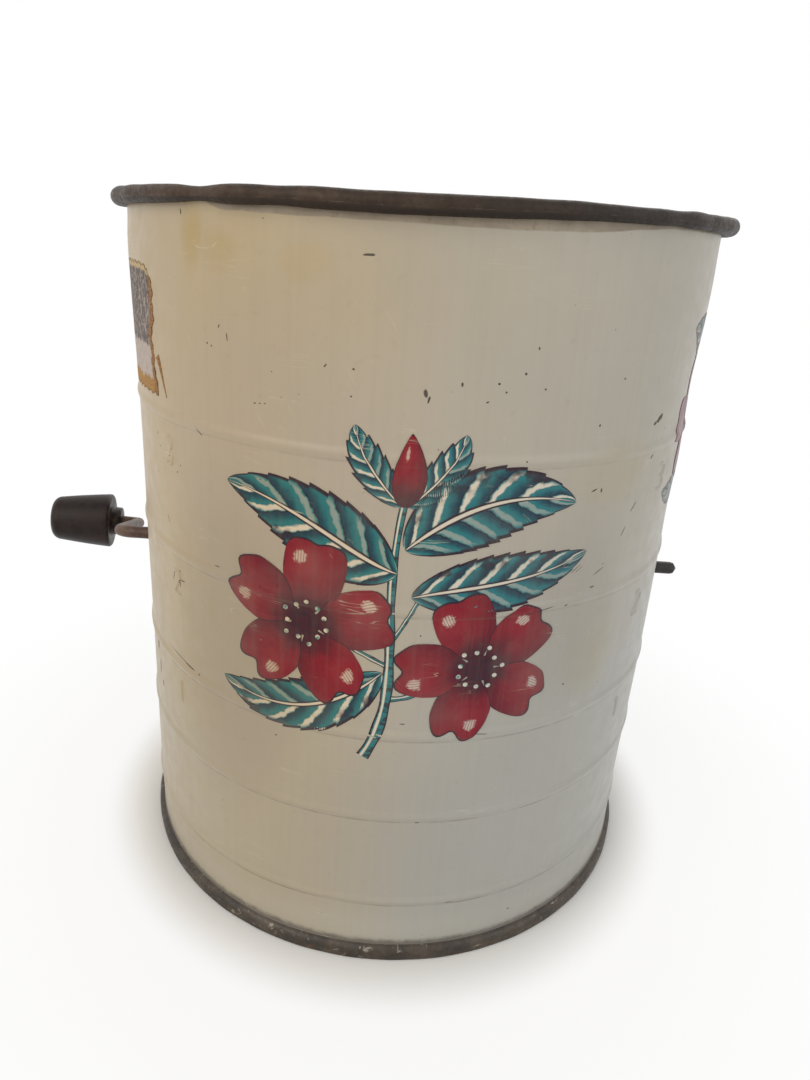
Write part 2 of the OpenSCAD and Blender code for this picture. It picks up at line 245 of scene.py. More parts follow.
def wall_dent(turn, z):
    """How far age has pushed the sheet in: long waves round and up the can and a few hollows, fading out
    at the hem, the top, the bearings and the handle's feet."""
    waves = (0.14 * np.sin(2 * turn + 0.6) * np.sin(z / 21 + 1)
             + 0.09 * np.sin(5 * turn + 2.1) * np.sin(z / 13 + 0.4)
             + 0.05 * np.sin(9 * turn + 0.3) * np.sin(z / 8 + 2))
    hollows = (0.5 * np.exp(-((turn - 1.22) / 0.17) ** 2 - ((z - 108) / 9) ** 2)
               + 0.35 * np.exp(-((turn - 1.12) / 0.16) ** 2 - ((z - 84) / 6) ** 2)
               + 0.3 * np.exp(-((turn + 0.95) / 0.14) ** 2 - ((z - 64) / 8) ** 2)
               + 0.25 * np.exp(-((turn - 0.3) / 0.2) ** 2 - ((z - 20) / 5) ** 2))
    bearing = np.exp(-((np.abs(turn) - np.pi / 2) * CAN_R / 9) ** 4 - ((z - SHAFT_Z) / 9) ** 4)
    feet = ease(1.6 - (np.pi - np.abs(turn)) * CAN_R / 14)
    return (waves + hollows) * ease((z - 4) / 8) * ease((CAN_H - 3 - z) / 6) * (1 - bearing) * (1 - feet)


def bell(turn, at, width):
    """exp(-(d / width)^2), d being the angle from at the short way round."""
    return np.exp(-(((turn - at + np.pi) % (2 * np.pi) - np.pi) / width) ** 2)


def rim_wave(turn):
    """Sag and pull-in of the rolled top: small sums of sines, and two broad sags, one of 1.8 mm by the
    crank and one of half a millimetre in front."""
    a = np.sin(7 * turn + 0.5) + 0.8 * np.sin(11 * turn + 2) + 0.6 * np.sin(17 * turn + 4)
    b = np.sin(5 * turn + 1.7) + 0.7 * np.sin(13 * turn + 0.2) + 0.5 * np.sin(19 * turn + 3.1)
    sag = 1.75 * bell(turn, -1.35, 1) + 0.5 * bell(turn, -0.05, 0.38)
    return sag + 0.08 * (1 + a / 2.4), 0.14 * (1 + b / 2.2)


def roll_radius(turn):
    """Radius of the roll: 1.4 mm in front, with three pinches, and 1.7 mm from the sides to the back, with
    small lumps that are strongest to the left and right of the front."""
    full = ease((np.abs(turn) - 0.95) / 0.5)
    pinch = 0.26 * bell(turn, 0.58, 0.3) + 0.34 * bell(turn, -0.61, 0.09) + 0.16 * bell(turn, -0.36, 0.05)
    lumps = (0.5 + 0.25 * np.sin(29 * turn) + 0.25 * np.sin(43 * turn + 2)) * (
        0.05 + 0.12 * bell(turn, 0.85, 0.35) + 0.08 * bell(turn, -0.8, 0.35))
    return CURL_OUT - 0.02 - (0.28 + pinch) * (1 - full) - lumps


def wall_radius(turn, z):
    """Radius of the painted face: the can, its rings, its lock seam at the back, its dents and, near the
    top, the rim's pull."""
    seam = WALL_T * ease((SEAM_HALF + 0.25 - (np.pi - np.abs(turn)) * CAN_R) / 0.5)
    pull = rim_wave(turn)[1] * ease((z - 124) / 9)
    return CAN_R + ring_bulge(z) + seam - wall_dent(turn, z) - pull


def round_can(radius, turn, z):
    """Points at a radius, an angle from the front's middle and a height."""
    return np.stack(np.broadcast_arrays(radius * np.sin(turn), -radius * np.cos(turn), z), axis=-1)


def on_wall(arc, z, lift):
    """Points of the wall at an arc length from the front's middle and a height, lifted off the paint."""
    turn = arc / CAN_R
    return round_can(wall_radius(turn, z) + lift, turn, z)


# ---------------- node trees
def tint(red, green, blue):
    """An sRGB colour, 0 to 255, as the linear colour that nodes take."""
    c = np.array([red, green, blue]) / 255
    c = np.where(c <= 0.04045, c / 12.92, ((c + 0.055) / 1.055) ** 2.4)
    return (*c.tolist(), 1)


def operation(how, turned=False):
    """A method for arithmetic on wires; turned is for a number that stands on the left."""
    def work(self, other=0):
        pair = (other, self) if turned else (self, other)
        return self.tree.math(how, *pair)
    return work


class Wire:
    """A node's output. Arithmetic on it adds a Math node and gives that node's output."""

    def __init__(self, tree, socket):
        self.tree, self.socket = tree, socket

    __add__ = __radd__ = operation("ADD")
    __mul__ = __rmul__ = operation("MULTIPLY")
    __sub__, __rsub__ = operation("SUBTRACT"), operation("SUBTRACT", True)
    __truediv__, __rtruediv__ = operation("DIVIDE"), operation("DIVIDE", True)
    __pow__ = operation("POWER")
    __abs__ = operation("ABSOLUTE")


class Tree:
    """Short words for a node tree: a call adds a node and gives its output as a Wire."""

    def __init__(self, tree):
        self.nodes, self.links = tree.nodes, tree.links

    def put(self, socket, value):
        if isinstance(value, Wire):
            self.links.new(value.socket, socket)
        else:
            socket.default_value = value

    def node(self, kind, inputs, **settings):
        made = self.nodes.new("ShaderNode" + kind)
        for key, value in settings.items():
            setattr(made, key, value)
        for key, value in inputs.items():
            self.put(made.inputs[key], value)
        return made

    def out(self, kind, inputs, output=0, **settings):
        return Wire(self, self.node(kind, inputs, **settings).outputs[output])

    def outs(self, kind, inputs, **settings):
        return [Wire(self, output) for output in self.node(kind, inputs, **settings).outputs]

    def math(self, how, a, b=0, **settings):
        return self.out("Math", {0: a, 1: b}, operation=how, **settings)

    def ramp(self, value, low, high, out_low=0, out_high=1):
        """A smooth step from one value at low to another at high."""
        given = {"Value": value, "From Min": low, "From Max": high, "To Min": out_low, "To Max": out_high}
        return self.out("MapRange", given, interpolation_type="SMOOTHSTEP")

    def mix(self, mask, a, b, how="MIX"):
        return self.out("Mix", {0: mask, 6: a, 7: b}, 2, data_type="RGBA", blend_type=how)

    def layers(self, colour, *rows):
        """Lays inks over a colour: a row is a value, its step's start and end, the strength and the ink."""
        for value, low, high, strength, ink in rows:
            colour = self.mix(self.ramp(value, low, high, 0, strength), colour, ink)
        return colour

    def dye(self, mask, colour, cast):
        """The colour, multiplied by a cast where the mask is full."""
        return self.mix(mask, colour, self.mix(1, colour, cast, "MULTIPLY"))

    def noise(self, vector, scale, detail=3, roughness=0.5, distortion=0):
        given = {"Vector": vector, "Scale": scale, "Detail": detail, "Roughness": roughness,
                 "Distortion": distortion}
        return self.out("TexNoise", given)

    def vector(self, x=0, y=0, z=0):
        return self.out("CombineXYZ", {0: x, 1: y, 2: z})

    def parts(self, vector):
        return self.outs("SeparateXYZ", {0: vector})

    def mapped(self, vector, **settings):
        given = {key.title(): value for key, value in settings.items()}
        return self.out("Mapping", {"Vector": vector, **given})

    def any_of(self, first, *others):
        """The greatest of some masks."""
        for other in others:
            first = self.math("MAXIMUM", first, other)
        return first

    def oval(self, x, y, at_x, at_y, wide, high):
        """Squared distance from a place, 1 on the edge of an ellipse round it."""
        return ((x - at_x) / wide) ** 2 + ((y - at_y) / high) ** 2

    def group(self, tree, *values):
        """The outputs of a group node; the values go to its first inputs, in the order that it names them."""
        return self.outs("Group", dict(enumerate(values)), node_tree=tree)

    def object_mm(self):
        """Object coordinates in millimetres."""
        place = self.out("TexCoord", {}, "Object")
        return self.out("VectorMath", {0: place, 1: (1 / MM,) * 3}, operation="MULTIPLY")

    def uv(self):
        """The piece's own u and v."""
        return self.parts(self.out("TexCoord", {}, "UV"))[:2]


# The socket for an input of a group, by the type of its first value; a vector has none
SOCKETS = {float: "NodeSocketFloat", tuple: "NodeSocketColor", type(None): "NodeSocketVector"}
SURFACE = {"Colour": tuple, "Roughness": float, "Height": float}


def effect(name, takes, gives):
    """Makes a node group of the function under it, which is given a Tree and the group's inputs as wires and
    returns what the group gives."""
    def build(work):
        tree = bpy.data.node_groups.new(name, "ShaderNodeTree")
        for key, value in takes.items():
            socket = tree.interface.new_socket(key, in_out="INPUT", socket_type=SOCKETS[type(value)])
            if value is not None:
                socket.default_value = value
        for key, kind in gives.items():
            tree.interface.new_socket(key, in_out="OUTPUT", socket_type=SOCKETS[kind])
        t = Tree(tree)
        given = t.nodes.new("NodeGroupInput").outputs
        out = t.nodes.new("NodeGroupOutput").inputs
        made = work(t, *(Wire(t, given[key]) for key in takes))
        for key, value in zip(gives, made if isinstance(made, tuple) else (made,)):
            t.put(out[key], value)
        return tree
    return build


@effect("wall_place", {}, {"Arc": float, "Height": float, "Flat": type(None), "Left": float, "Right": float})
def wall_place(t):
    """Where a point lies on the can: arc length round it from the front's middle, and height, in mm. Left
    and Right are 1 at the front's two flanks, by the cosine of the angle from each, and -1 opposite them."""
    x, y, z = t.parts(t.object_mm())
    flanks = []
    for a in np.radians((-48, 58)):
        flanks.append(x * (float(np.sin(a)) / CAN_R) + y * (float(-np.cos(a)) / CAN_R))
    arc = t.math("ARCTAN2", x, y * -1) * CAN_R
    return arc, z, t.vector(arc, z), *flanks


@effect("placed_stroke", {"Arc": 0.0, "Height": 0.0, "At Arc": 0.0, "At Height": 0.0, "Half Length": 1.0,
                          "Half Width": 0.2, "Turn": 0.0}, {"Mask": float})
def placed_stroke(t, arc, height, at_arc, at_height, half_length, half_width, turn):
    """A short dark stroke at a place on the wall: full inside half_length x half_width, with ragged
    edges."""
    x, y = arc - at_arc, height - at_height
    turn = t.math("RADIANS", turn)
    c, s = t.math("COSINE", turn), t.math("SINE", turn)
    rag = t.noise(t.vector(arc, height), 2.2, 2) - 0.5
    u = abs((x * c + y * s) / half_length) ** 2
    v = abs((y * c - x * s) / half_width) ** 2
    return t.ramp(u + v + rag * 1.6, 1.15, 0.75)


@effect("chip_specks", {"Place": None, "Spacing": 3.0, "Size": 0.1, "Share": 0.2}, {"Mask": float})
def chip_specks(t, place, spacing, size, share):
    """Small dark chips: cells of a Voronoi pattern, only the few whose own random value is high."""
    distance, colour = t.outs("TexVoronoi", {"Vector": place, "Scale": 1 / spacing}, feature="F1")[:2]
    pick = t.parts(colour)[0]
    size = size * (pick + 0.2)
    rag = (t.noise(place, 3, 2) - 0.5) * 0.08
    return t.ramp(distance + rag, size, size * 0.6) * t.math("GREATER_THAN", pick, 1 - share)


@effect("fine_scratches", {"Place": None, "Long": 0.03, "Fine": 0.9, "Width": 0.012, "Share": 0.5},
        {"Mask": float})
def fine_scratches(t, place, long, fine, width, share):
    """Fine lines: a noise drawn out along one way, kept near one value and only inside loose patches."""
    x, y, z = t.parts(place)
    line = abs(t.noise(t.vector(x * long, y * fine, z), 1, 2, 0.6, 0.4) - 0.5)
    low = 1 - share
    return t.ramp(line, width, 0) * t.ramp(t.noise(place, 0.09, 3, 0.6), low, low + 0.12)


# Marks that stand at one place on the wall: arc, height, half length, half width, turn, in mm and degrees
WALL_MARKS = (
    (-7, 128.2, 0.95, 0.17, 3), (-24.3, 106.1, 0.22, 0.1, 0), (-23.4, 106.2, 0.2, 0.09, 0),
    (-22.5, 106.3, 0.18, 0.09, 0), (-36.3, 99.4, 0.9, 0.11, -35), (-31, 116.6, 0.36, 0.1, 60),
    (-29.4, 115.2, 0.11, 0.6, 8), (-33.6, 113.8, 0.16, 0.16, 0), (-32.7, 113.5, 0.15, 0.14, 0),
    (-39, 132, 0.16, 0.4, 10), (-12.8, 113, 0.32, 0.12, 55), (-8.6, 112.9, 0.18, 0.15, 0),
    (-8.8, 109, 0.16, 0.13, 0), (1.9, 110.3, 0.3, 0.62, 12), (2.4, 109.4, 0.5, 0.18, 75),
    (7, 111.8, 0.18, 0.3, 0), (12.4, 112.1, 0.2, 0.18, 0), (13.6, 110.9, 0.16, 0.16, 0),
    (10.9, 109.4, 0.26, 0.13, 20), (17.9, 117.2, 0.14, 0.22, 0), (16.3, 113.6, 0.2, 0.19, 0),
    (19.7, 111.4, 0.17, 0.16, 0), (34.6, 112.6, 0.2, 0.15, 0), (30.6, 105.6, 0.2, 0.2, 0),
    (46.8, 105.2, 1.15, 0.5, 32), (45.4, 104.5, 0.5, 0.3, 10), (-45.5, 53.3, 4.7, 0.1, -6),
    (-42.6, 52.9, 1.7, 0.17, -6), (-39.3, 52.6, 0.22, 0.16, 0), (-47.4, 70, 1.3, 0.12, 69),
    (-25.3, 52.4, 0.6, 0.1, 15), (-59.4, 49.6, 1.5, 0.4, 82), (-58.4, 44.8, 1.9, 0.32, 84),
    (-56.8, 41.6, 0.9, 0.22, 75), (-44.7, 71.8, 0.24, 0.17, 0), (-44.9, 69.2, 0.8, 0.12, 88),
    (-43.9, 70.1, 0.95, 0.12, 7), (-23.4, 75.9, 0.17, 0.15, 0), (-20.2, 76.9, 0.16, 0.15, 0),
    (31.6, 95, 0.7, 0.14, 20), (33.2, 94.8, 0.22, 0.34, 0), (25, 74.9, 1.8, 0.11, 12),
    (21.9, 74.45, 1.3, 0.06, 5), (29.3, 74.95, 0.34, 0.16, 20), (30.3, 81.45, 1.15, 0.07, 34),
    (31, 81.2, 1, 0.06, 34), (34.9, 77.2, 0.55, 0.14, 2), (15.9, 51.8, 1.2, 0.08, -7),
    (31.9, 58.6, 0.22, 0.17, 0), (2, 54.2, 0.5, 0.1, 0), (43, 90.4, 1.2, 0.12, 50),
    (41, 86.2, 1, 0.11, 60), (18, 100.6, 0.16, 0.15, 0), (46.5, 98.6, 0.5, 0.18, 40),
    (-48, 81, 0.9, 0.09, -60), (36, 80, 1.3, 0.1, 25), (-20.5, 47.5, 0.3, 0.1, 20),
    (6, 33, 0.4, 0.12, 5), (-33, 76.8, 0.6, 0.09, 0), (13.5, 13.2, 0.9, 0.1, 6),
    (-50.5, 96.2, 0.12, 0.3, 0), (-49.8, 94, 0.12, 0.24, 10), (-46, 93.2, 0.2, 0.13, 0),
    (-43.4, 90.9, 0.13, 0.2, 0), (-42.2, 92.4, 0.14, 0.12, 0), (27, 7.4, 0.3, 0.14, 10),
)

# Yellowed patches: arc, height, half width, half height, strength
STAINS = (
    (-36.5, 129, 2.4, 5, 0.75), (-31, 127, 4, 3, 0.4), (-27, 112, 14, 18, 0.06), (-16, 126.5, 4, 3, 0.3),
    (37.5, 64, 6, 8.5, 0.3), (36, 97, 9, 5, 0.28), (8, 124, 26, 7, 0.08), (-46, 60, 12, 26, 0.16),
    (120, 40, 18, 22, 0.4), (-130, 96, 14, 18, 0.45), (150, 110, 12, 12, 0.35),
)

# Factors of red, green and blue for the painted cool shade: greyer enamel low down and to the right
COOL_SHADE_CAST = (0.86, 0.95, 1.08, 1)

# Broad patches where the enamel is darker and greyer, the big one on the left flank being painted shade, a
# dark band down the wall: arc, height, half width, half height, strength
DULL_AND_SHADE_PATCHES = ((-30.5, 62, 13, 28, 0.8), (31, 74, 9, 16, 0.45), (-2, 30, 16, 16, 0.2))

# Where the enamel is less yellow, in the same terms, and the factors of its colour there
GREY_PATCHES = ((-24, 98, 20, 26, 0.9),)
GREY_CAST = (0.97, 1, 1.14, 1)


def patch_mask(t, arc, height, blur, patches, full, none):
    """The strongest of the soft ellipses at a place; far is 1 on an ellipse's edge, and blur ruffles it."""
    mask = 0
    for at, z, wide, high, strength in patches:
        far = t.oval(arc, height, at, z, wide, high) + blur
        mask = t.any_of(t.ramp(far, none, full, 0, strength), mask)
    return mask


def casts_and_painted_light(t, colour, stain, arc, height, left, right, blur):
    """Where the paint has yellowed, darkened or greyed, in patches, one of them painted shade, and painted
    light: a warm light on the left flank and a cool shade low down and to the right.
    """
    colour = t.dye(stain, colour, tint(243, 229, 168))
    blur = blur * 0.6
    # Darker, greyer patches; the one on the left flank is painted shade
    colour = t.dye(patch_mask(t, arc, height, blur, DULL_AND_SHADE_PATCHES, -0.5, 2.3), colour, tint(226, 223, 226))
    colour = t.dye(patch_mask(t, arc, height, blur, GREY_PATCHES, 0, 1.6), colour, GREY_CAST)
    # Painted light: warmer on the left flank, more so higher up
    painted_warm_light = t.ramp(left, 0.55, 0.95) * t.ramp(height, 10, 90, 0.8, 1)
    colour = t.dye(painted_warm_light, colour, tint(255, 243, 218))
    # Painted shade: cooler and greyer low down and to the right
    painted_cool_shade = t.ramp(height, 100, 25) * t.ramp(left, 0.35, 0.85, 1, 0.45)
    painted_cool_shade = t.math("ADD", painted_cool_shade, t.ramp(right, 0.5, 0.99, 0, 0.35), use_clamp=True)
    return t.dye(painted_cool_shade, colour, COOL_SHADE_CAST)


def grime_and_painted_shade(t, colour, height, flat):
    """Upright streaks, clouds and smudges; a dark line under each ring, partly dirt and partly painted shade,
    weaker higher up; a paler band low on the wall; and painted shade at the foot where the wall meets the
    hem.
    """
    streak = t.noise(t.mapped(flat, scale=(0.75, 0.02, 1)), 1, 3, 0.6)
    smudge = t.noise(flat, 0.45, 5, 0.65)
    colour = t.layers(colour, (streak, 0.42, 0.72, 0.07, tint(140, 128, 106)),
                      (t.noise(flat, 0.05, 4, 0.55), 0.4, 0.68, 0.14, tint(160, 155, 142)),
                      (smudge, 0.56, 0.8, 0.16, tint(128, 112, 84)))
    # Under each ring a dark line, partly dirt and partly painted shade, weaker higher up
    under = 0
    for ring in RING_HEIGHTS:
        under = t.any_of(t.ramp(abs(height - (ring - RING_W / 2 + 0.2)), 0.32, 0.04), under)
    under = under * t.ramp(t.noise(flat, 0.12, 4, 0.6), 0.36, 0.72, 0.05, 0.55)
    under = under * t.ramp(height, 55, 110, 1, 0.35)
    # A paler band low on the wall, and painted shade darkening the foot where the wall meets the hem
    return t.layers(t.mix(under, colour, tint(104, 92, 74)), (height, 12, 7, 0.22, tint(190, 186, 174)),
                    (height + (smudge - 0.5) * 1.6, 4.7, 3.3, 0.85, tint(84, 76, 66)))


def scratch_mask(t, flat):
    """Two sets of fine scratches, one level and one slanted."""
    slant = t.mapped(flat, rotation=(0, 0, 0.9))
    return t.any_of(t.group(fine_scratches, flat, 0.035, 0.5, 0.008, 0.45)[0] * 0.55,
                    t.group(fine_scratches, slant, 0.05, 0.6, 0.006, 0.42)[0] * 0.45)


def mark_mask(t, arc, height, flat):
    """Scattered chips, crowded ones in loose patches, and every placed mark."""
    few = t.group(chip_specks, flat, 4.6, 0.032, 0.3)[0]
    crowd = t.group(chip_specks, flat, 1.5, 0.085, 0.32)[0]
    marks = t.any_of(few, crowd * t.ramp(t.noise(flat, 0.075, 2), 0.56, 0.66))
    return t.any_of(marks, *(t.group(placed_stroke, arc, height, *mark)[0] for mark in WALL_MARKS))


@effect("aged_paint_and_painted_light", {"Colour": tint(190, 178, 150), "Stain": 1.0}, SURFACE)
def aged_paint_and_painted_light(t, colour, stained):
    """Age and painted light laid over any colour on the wall: stains, darker patches, a painted warm light
    and cool shade, dirt and painted shade under the rings and at the foot, chips and scratches down to dark
    tin, with the roughness and height that go with them."""
    arc, height, flat, left, right = t.group(wall_place)
    blur = t.noise(flat, 0.11, 4, 0.6) - 0.5
    stain = patch_mask(t, arc, height, blur * 2.4, STAINS, -0.6, 2) * stained
    colour = grime_and_painted_shade(t, casts_and_painted_light(t, colour, stain, arc, height, left, right, blur), height, flat)
    scratch = scratch_mask(t, flat)
    marks = mark_mask(t, arc, height, flat)
    colour = t.mix(marks * 0.9, t.mix(scratch, colour, tint(196, 186, 160)), tint(52, 42, 32))
    rough = t.ramp(t.noise(flat, 0.3, 4), 0.3, 0.7, 0.36, 0.5) + marks * 0.3
    waves = t.noise(flat, 0.09, 3) * 0.22 + t.noise(flat, 2.5, 2) * 0.012
    return colour, rough, waves + t.any_of(marks, scratch * 0.3) * -0.05


@effect("tarnished_tin", {"Place": None, "Dark": tint(60, 52, 44), "Light": tint(112, 102, 90), "Rust": 0.3,
                          "Rub": 0.3}, SURFACE)
def tarnished_tin(t, place, dark, light, rust, rub):
    """Old tin gone brown and grey: three sizes of cloud, rubbed highlights and rust freckles."""
    cloud = t.noise(place, 0.16, 5, 0.62)
    fine = t.noise(place, 1.4, 4, 0.6)
    colour = t.layers(dark, (cloud, 0.32, 0.68, 1, light), (fine, 0.45, 0.75, 0.5, dark))
    freckle = t.ramp(t.noise(place, 0.8, 5, 0.7), 0.56, 0.7) * rust
    rub = t.ramp(t.noise(place, 0.5, 5, 0.7, 0.6), 0.6, 0.68) * rub
    colour = t.mix(rub, t.mix(freckle, colour, tint(104, 62, 34)), tint(168, 158, 144))
    return colour, t.ramp(fine, 0.3, 0.7, 0.4, 0.62) - rub * 0.18, cloud * 0.1 + fine * 0.02


def new_finish(name, **sockets):
    """A new material with a Principled shader; returns it with its Tree and the shader. An underscore in a
    socket's name stands for a space."""
    made = bpy.data.materials.new(name)
    made.use_nodes = True
    shader = made.node_tree.nodes["Principled BSDF"]
    for key, value in {"Coat Roughness": 0.25, **sockets}.items():
        shader.inputs[key.replace("_", " ")].default_value = value
    return made, Tree(made.node_tree), shader


def finish_of(name, paint, metallic=0, coat=0, specular=0.5, bump=0.6):
    """A new material. paint(t) gives its colour, its roughness, its height in millimetres and, where that
    changes over the surface, how metallic it is."""
    made, t, shader = new_finish(name, Metallic=metallic, Coat_Weight=coat, Specular_IOR_Level=specular)
    colour, rough, height, *metal = paint(t)
    t.put(shader.inputs["Base Color"], colour)
    t.put(shader.inputs["Roughness"], rough)
    if metal:
        t.put(shader.inputs["Metallic"], metal[0])
    given = {"Height": height, "Strength": bump, "Distance": MM}
    t.put(shader.inputs["Normal"], t.out("Bump", given))
    return made


def bare_strip(t, colour, rough):
    """A wavy strip below the roll that the enamel never covered, bare tin with a shadow at its top."""
    arc, z, flat, _, _ = t.group(wall_place)
    wave = t.noise(t.vector(arc), 0.09, 3) - 0.5
    ripple = t.noise(flat, 0.9, 3) - 0.5
    top = t.ramp(arc, -37, -29, 2, 0) + t.ramp(arc, 14, 44, 132.5, 134.2)
    bare = t.ramp(z - (top + (wave * 0.8 + ripple * 0.1)), -0.12, 0.12)
    tin = t.group(tarnished_tin, t.object_mm(), tint(136, 123, 105), tint(160, 147, 128), 0.25)[0]
    colour = t.mix(bare, colour, tin)
    shade = t.ramp(z, 132.6, 134.2, 0, 0.25)
    return t.mix(shade * bare, colour, tint(84, 72, 60)), rough + bare * 0.08, bare * 0.3


def enamel_finish(name, margins):
    """Cream enamel on the wall, with its bare strip or without."""
    def paint(t):
        colour, rough, height = t.group(aged_paint_and_painted_light, CREAM)
        metal = []
        if margins:
            colour, rough, *metal = bare_strip(t, colour, rough)
        return colour, rough, height, *metal
    return finish_of(name, paint, coat=0.12, specular=0.4)


def tin_finish(name, dark, light, metallic, rust=0.3, rub=0.3, plain_end=None):
    """Bare tin or wire with its tarnish; plain_end is the colour of what stands out on the +X side."""
    def paint(t):
        place = t.object_mm()
        colour, rough, height = t.group(tarnished_tin, place, tint(*dark), tint(*light), rust, rub)
        if plain_end:
            colour = t.mix(t.ramp(t.parts(place)[0], 50, 56), colour, tint(*plain_end))
        return colour, rough, height
    return finish_of(name, paint, metallic, bump=0.8)


def roll_paint(t):
    """The roll's dark tin, with painted shade on its lower outside and underside, darker towards the right of
    the front, and a thin rubbed line low on its outside.
    """
    dark, light = tint(50, 39, 31), tint(76, 61, 50)
    colour, rough, height = t.group(tarnished_tin, t.object_mm(), dark, light, 0.2, 0.1)
    arc, v = t.group(wall_place)[0], t.uv()[1]
    # Painted shade on the roll's lower outside and underside
    colour = t.mix(t.ramp(v, 0.46, 0.4) * t.ramp(v, 0.12, 0.2), colour, tint(46, 36, 29))
    colour = t.mix(t.ramp(arc, -25, 25, 0, 0.65), colour, tint(41, 36, 33))
    worn = t.ramp(t.noise(t.vector(arc), 0.22, 5, 0.7), 0.44, 0.66)
    rubbed = t.ramp(abs(v - 0.462), 0.009, 0.002) * worn
    return t.mix(rubbed * 0.2, colour, tint(150, 140, 124)), rough, height


CREAM = tint(177, 167, 151)
ENAMEL = enamel_finish("cream_enamel", True)
ENAMEL_PLAIN = enamel_finish("cream_enamel_relief", False)
ROLLED_TIN = finish_of("rolled_rim_tin", roll_paint, 0.1, specular=0.18, bump=0.8)
HEM_TIN = tin_finish("hem_tin", (44, 37, 30), (78, 68, 56), 0.1, 0.5, 0.7)
INNER_TIN = tin_finish("inner_tin", (146, 142, 132), (190, 186, 176), 0.5, 0.35, 0.2)
BARE_TIN = tin_finish("bare_tin", (92, 84, 74), (140, 132, 120), 0.7, 0.5, 0.4)
RUSTY_WIRE = tin_finish("rusty_wire", (64, 46, 36), (98, 76, 60), 0.35, 0.7, 0.2, (46, 44, 43))
BOW_WIRE = tin_finish("bow_wire", (112, 108, 100), (158, 154, 146), 0.8, 0.3, 0.3)
SCREEN_WIRE = tin_finish("screen_wire", (118, 114, 104), (162, 158, 148), 0.8, 0.35, 0.1)


# ---------------- the can
def can_turns(count=224):
    """Angles round the can from the front's middle: evenly spaced, with close steps at the lock seam."""
    even = np.linspace(-np.pi, np.pi, count, endpoint=False) + np.pi / count
    edge = np.array([2.6, 2.9, 3.1, 3.4]) / CAN_R
    even = even[np.pi - np.abs(even) > 4.5 / CAN_R]
    return np.sort(np.concatenate([even, np.pi - edge, edge - np.pi, [0.999 * np.pi]]))


def wall_heights(low, high, step, fine):
    """Heights from low to high, a plain step apart, and closer across the embossed rings."""
    z = [np.arange(low, high, step), [high]]
    z += [ring + RING_W / 2 * np.linspace(-1, 1, fine) for ring in RING_HEIGHTS]
    z = np.unique(np.round(np.concatenate(z), 3))
    return z[(z >= low) & (z <= high)]


def settle(z, drop, start=122):
    """The wall's top comes down with the roll, by the whole drop at the roll and by nothing at start."""
    return z - drop * ease((z - start) / (CURL_Z - start))


def can_shell():
    """The tin wall as one closed loop of profile points carried round the can: hem, painted face, inside of
    the roll, the roll's tail, its outside, and the inner face."""
    turn = can_turns()[:, None]
    drop, pull = rim_wave(turn)
    outer = wall_heights(HEM_H + 0.25, CURL_Z, 1, 11)[None, :]
    inner = wall_heights(0.6, CURL_Z, 2.4, 7)[None, ::-1]
    curl = np.radians(np.linspace(180, CURL_TAIL - 360, 22))[None, :]
    back = curl[:, ::-1]
    thick = roll_radius(turn)
    centre_r, centre_z = CAN_R - WALL_T + thick - pull, CURL_Z - drop
    hem_r = np.array([[0.25, 0.6, 0.9, HEM_OUT, HEM_OUT + 0.02, HEM_OUT, 0.75, 0.4, 0.15]])
    hem_z = np.array([[0, 0, 0, 0.18, 1.2, 2.3, 2.85, 3, 3.12]])
    nick = 0.04 * np.sin(31 * turn + 1) * np.sin(9 * turn) - 0.04
    # Each part of the profile: radius, height, and its material's place in the list below
    parts = [(CAN_R + hem_r + nick * (hem_r > 0.7), hem_z, 3),
             (wall_radius(turn, outer), settle(outer, drop), 0),
             (centre_r + (thick - WALL_T) * np.cos(curl), centre_z + (thick - WALL_T) * np.sin(curl), 2),
             (centre_r + thick * np.cos(back), centre_z + thick * np.sin(back), 1),
             (wall_radius(turn, inner) - WALL_T, settle(inner, drop), 2),
             (CAN_R - WALL_T + np.array([[0.06, 0.2]]), np.array([[0.15, 0]]), 3)]
    rings = np.concatenate([round_can(r, turn, z) for r, z, _ in parts], axis=1)
    counts = [r.shape[1] for r, _, _ in parts]
    across = np.repeat([kind for _, _, kind in parts], counts)
    across[counts[0] - 1] = 0
    uv = np.zeros(rings.shape[:2] + (2,))
    uv[:, sum(counts[:3]):sum(counts[:4]), 1] = back / (2 * np.pi) + 0.5
    shell = solid("can_shell", [(rings, uv, np.tile(across, len(turn)))],
                  [ENAMEL, ROLLED_TIN, INNER_TIN, HEM_TIN], "can", 50, True)
    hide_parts("body_shell")


def rim_wire():
    """The wire inside the roll: a round section carried round with the roll's own sag and pull."""
    turn = np.linspace(-np.pi, np.pi, 160, endpoint=False)[:, None]
    a = np.linspace(0, 2 * np.pi, 12, endpoint=False)[None, :]
    drop, pull = rim_wave(turn)
    roll = roll_radius(turn)
    section = roll - WALL_T - 0.12
    rings = round_can(CAN_R - WALL_T + roll - pull + section * np.cos(a), turn,
                      CURL_Z - drop + section * np.sin(a))
    wire = solid("rim_wire", [(rings, None, 0)], [BARE_TIN], "can", looped=True)
    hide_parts("top_rim_wire")


def wall_patch(arc, z, lift, sink=0.12):
    """A thin closed patch on the wall: rows of (arc, z) points lifted off the paint, and the same rows
    again sunk under it, walked back, so that each ring closes."""
    return np.concatenate([on_wall(arc, z, lift), on_wall(arc, z, -sink)[:, ::-1]], axis=1)


def patch_uv(u, v):
    """The patch's own u and v on its top, and the same on its underside walked back."""
    top = np.stack(np.broadcast_arrays(u, v), -1)
    return np.concatenate([top, top[:, ::-1]], axis=1)


can_shell()
rim_wire()


# ---------------- printed spray, embossed digits, label
def print_finish(name, ink):
    """Litho ink under the same age and painted light as the enamel; ink(t, u, v, flat) gives its colour."""
    def paint(t):
        return t.group(aged_paint_and_painted_light, ink(t, *t.uv(), t.group(wall_place)[2]), 0.3)
    return finish_of(name, paint, specular=0.2)


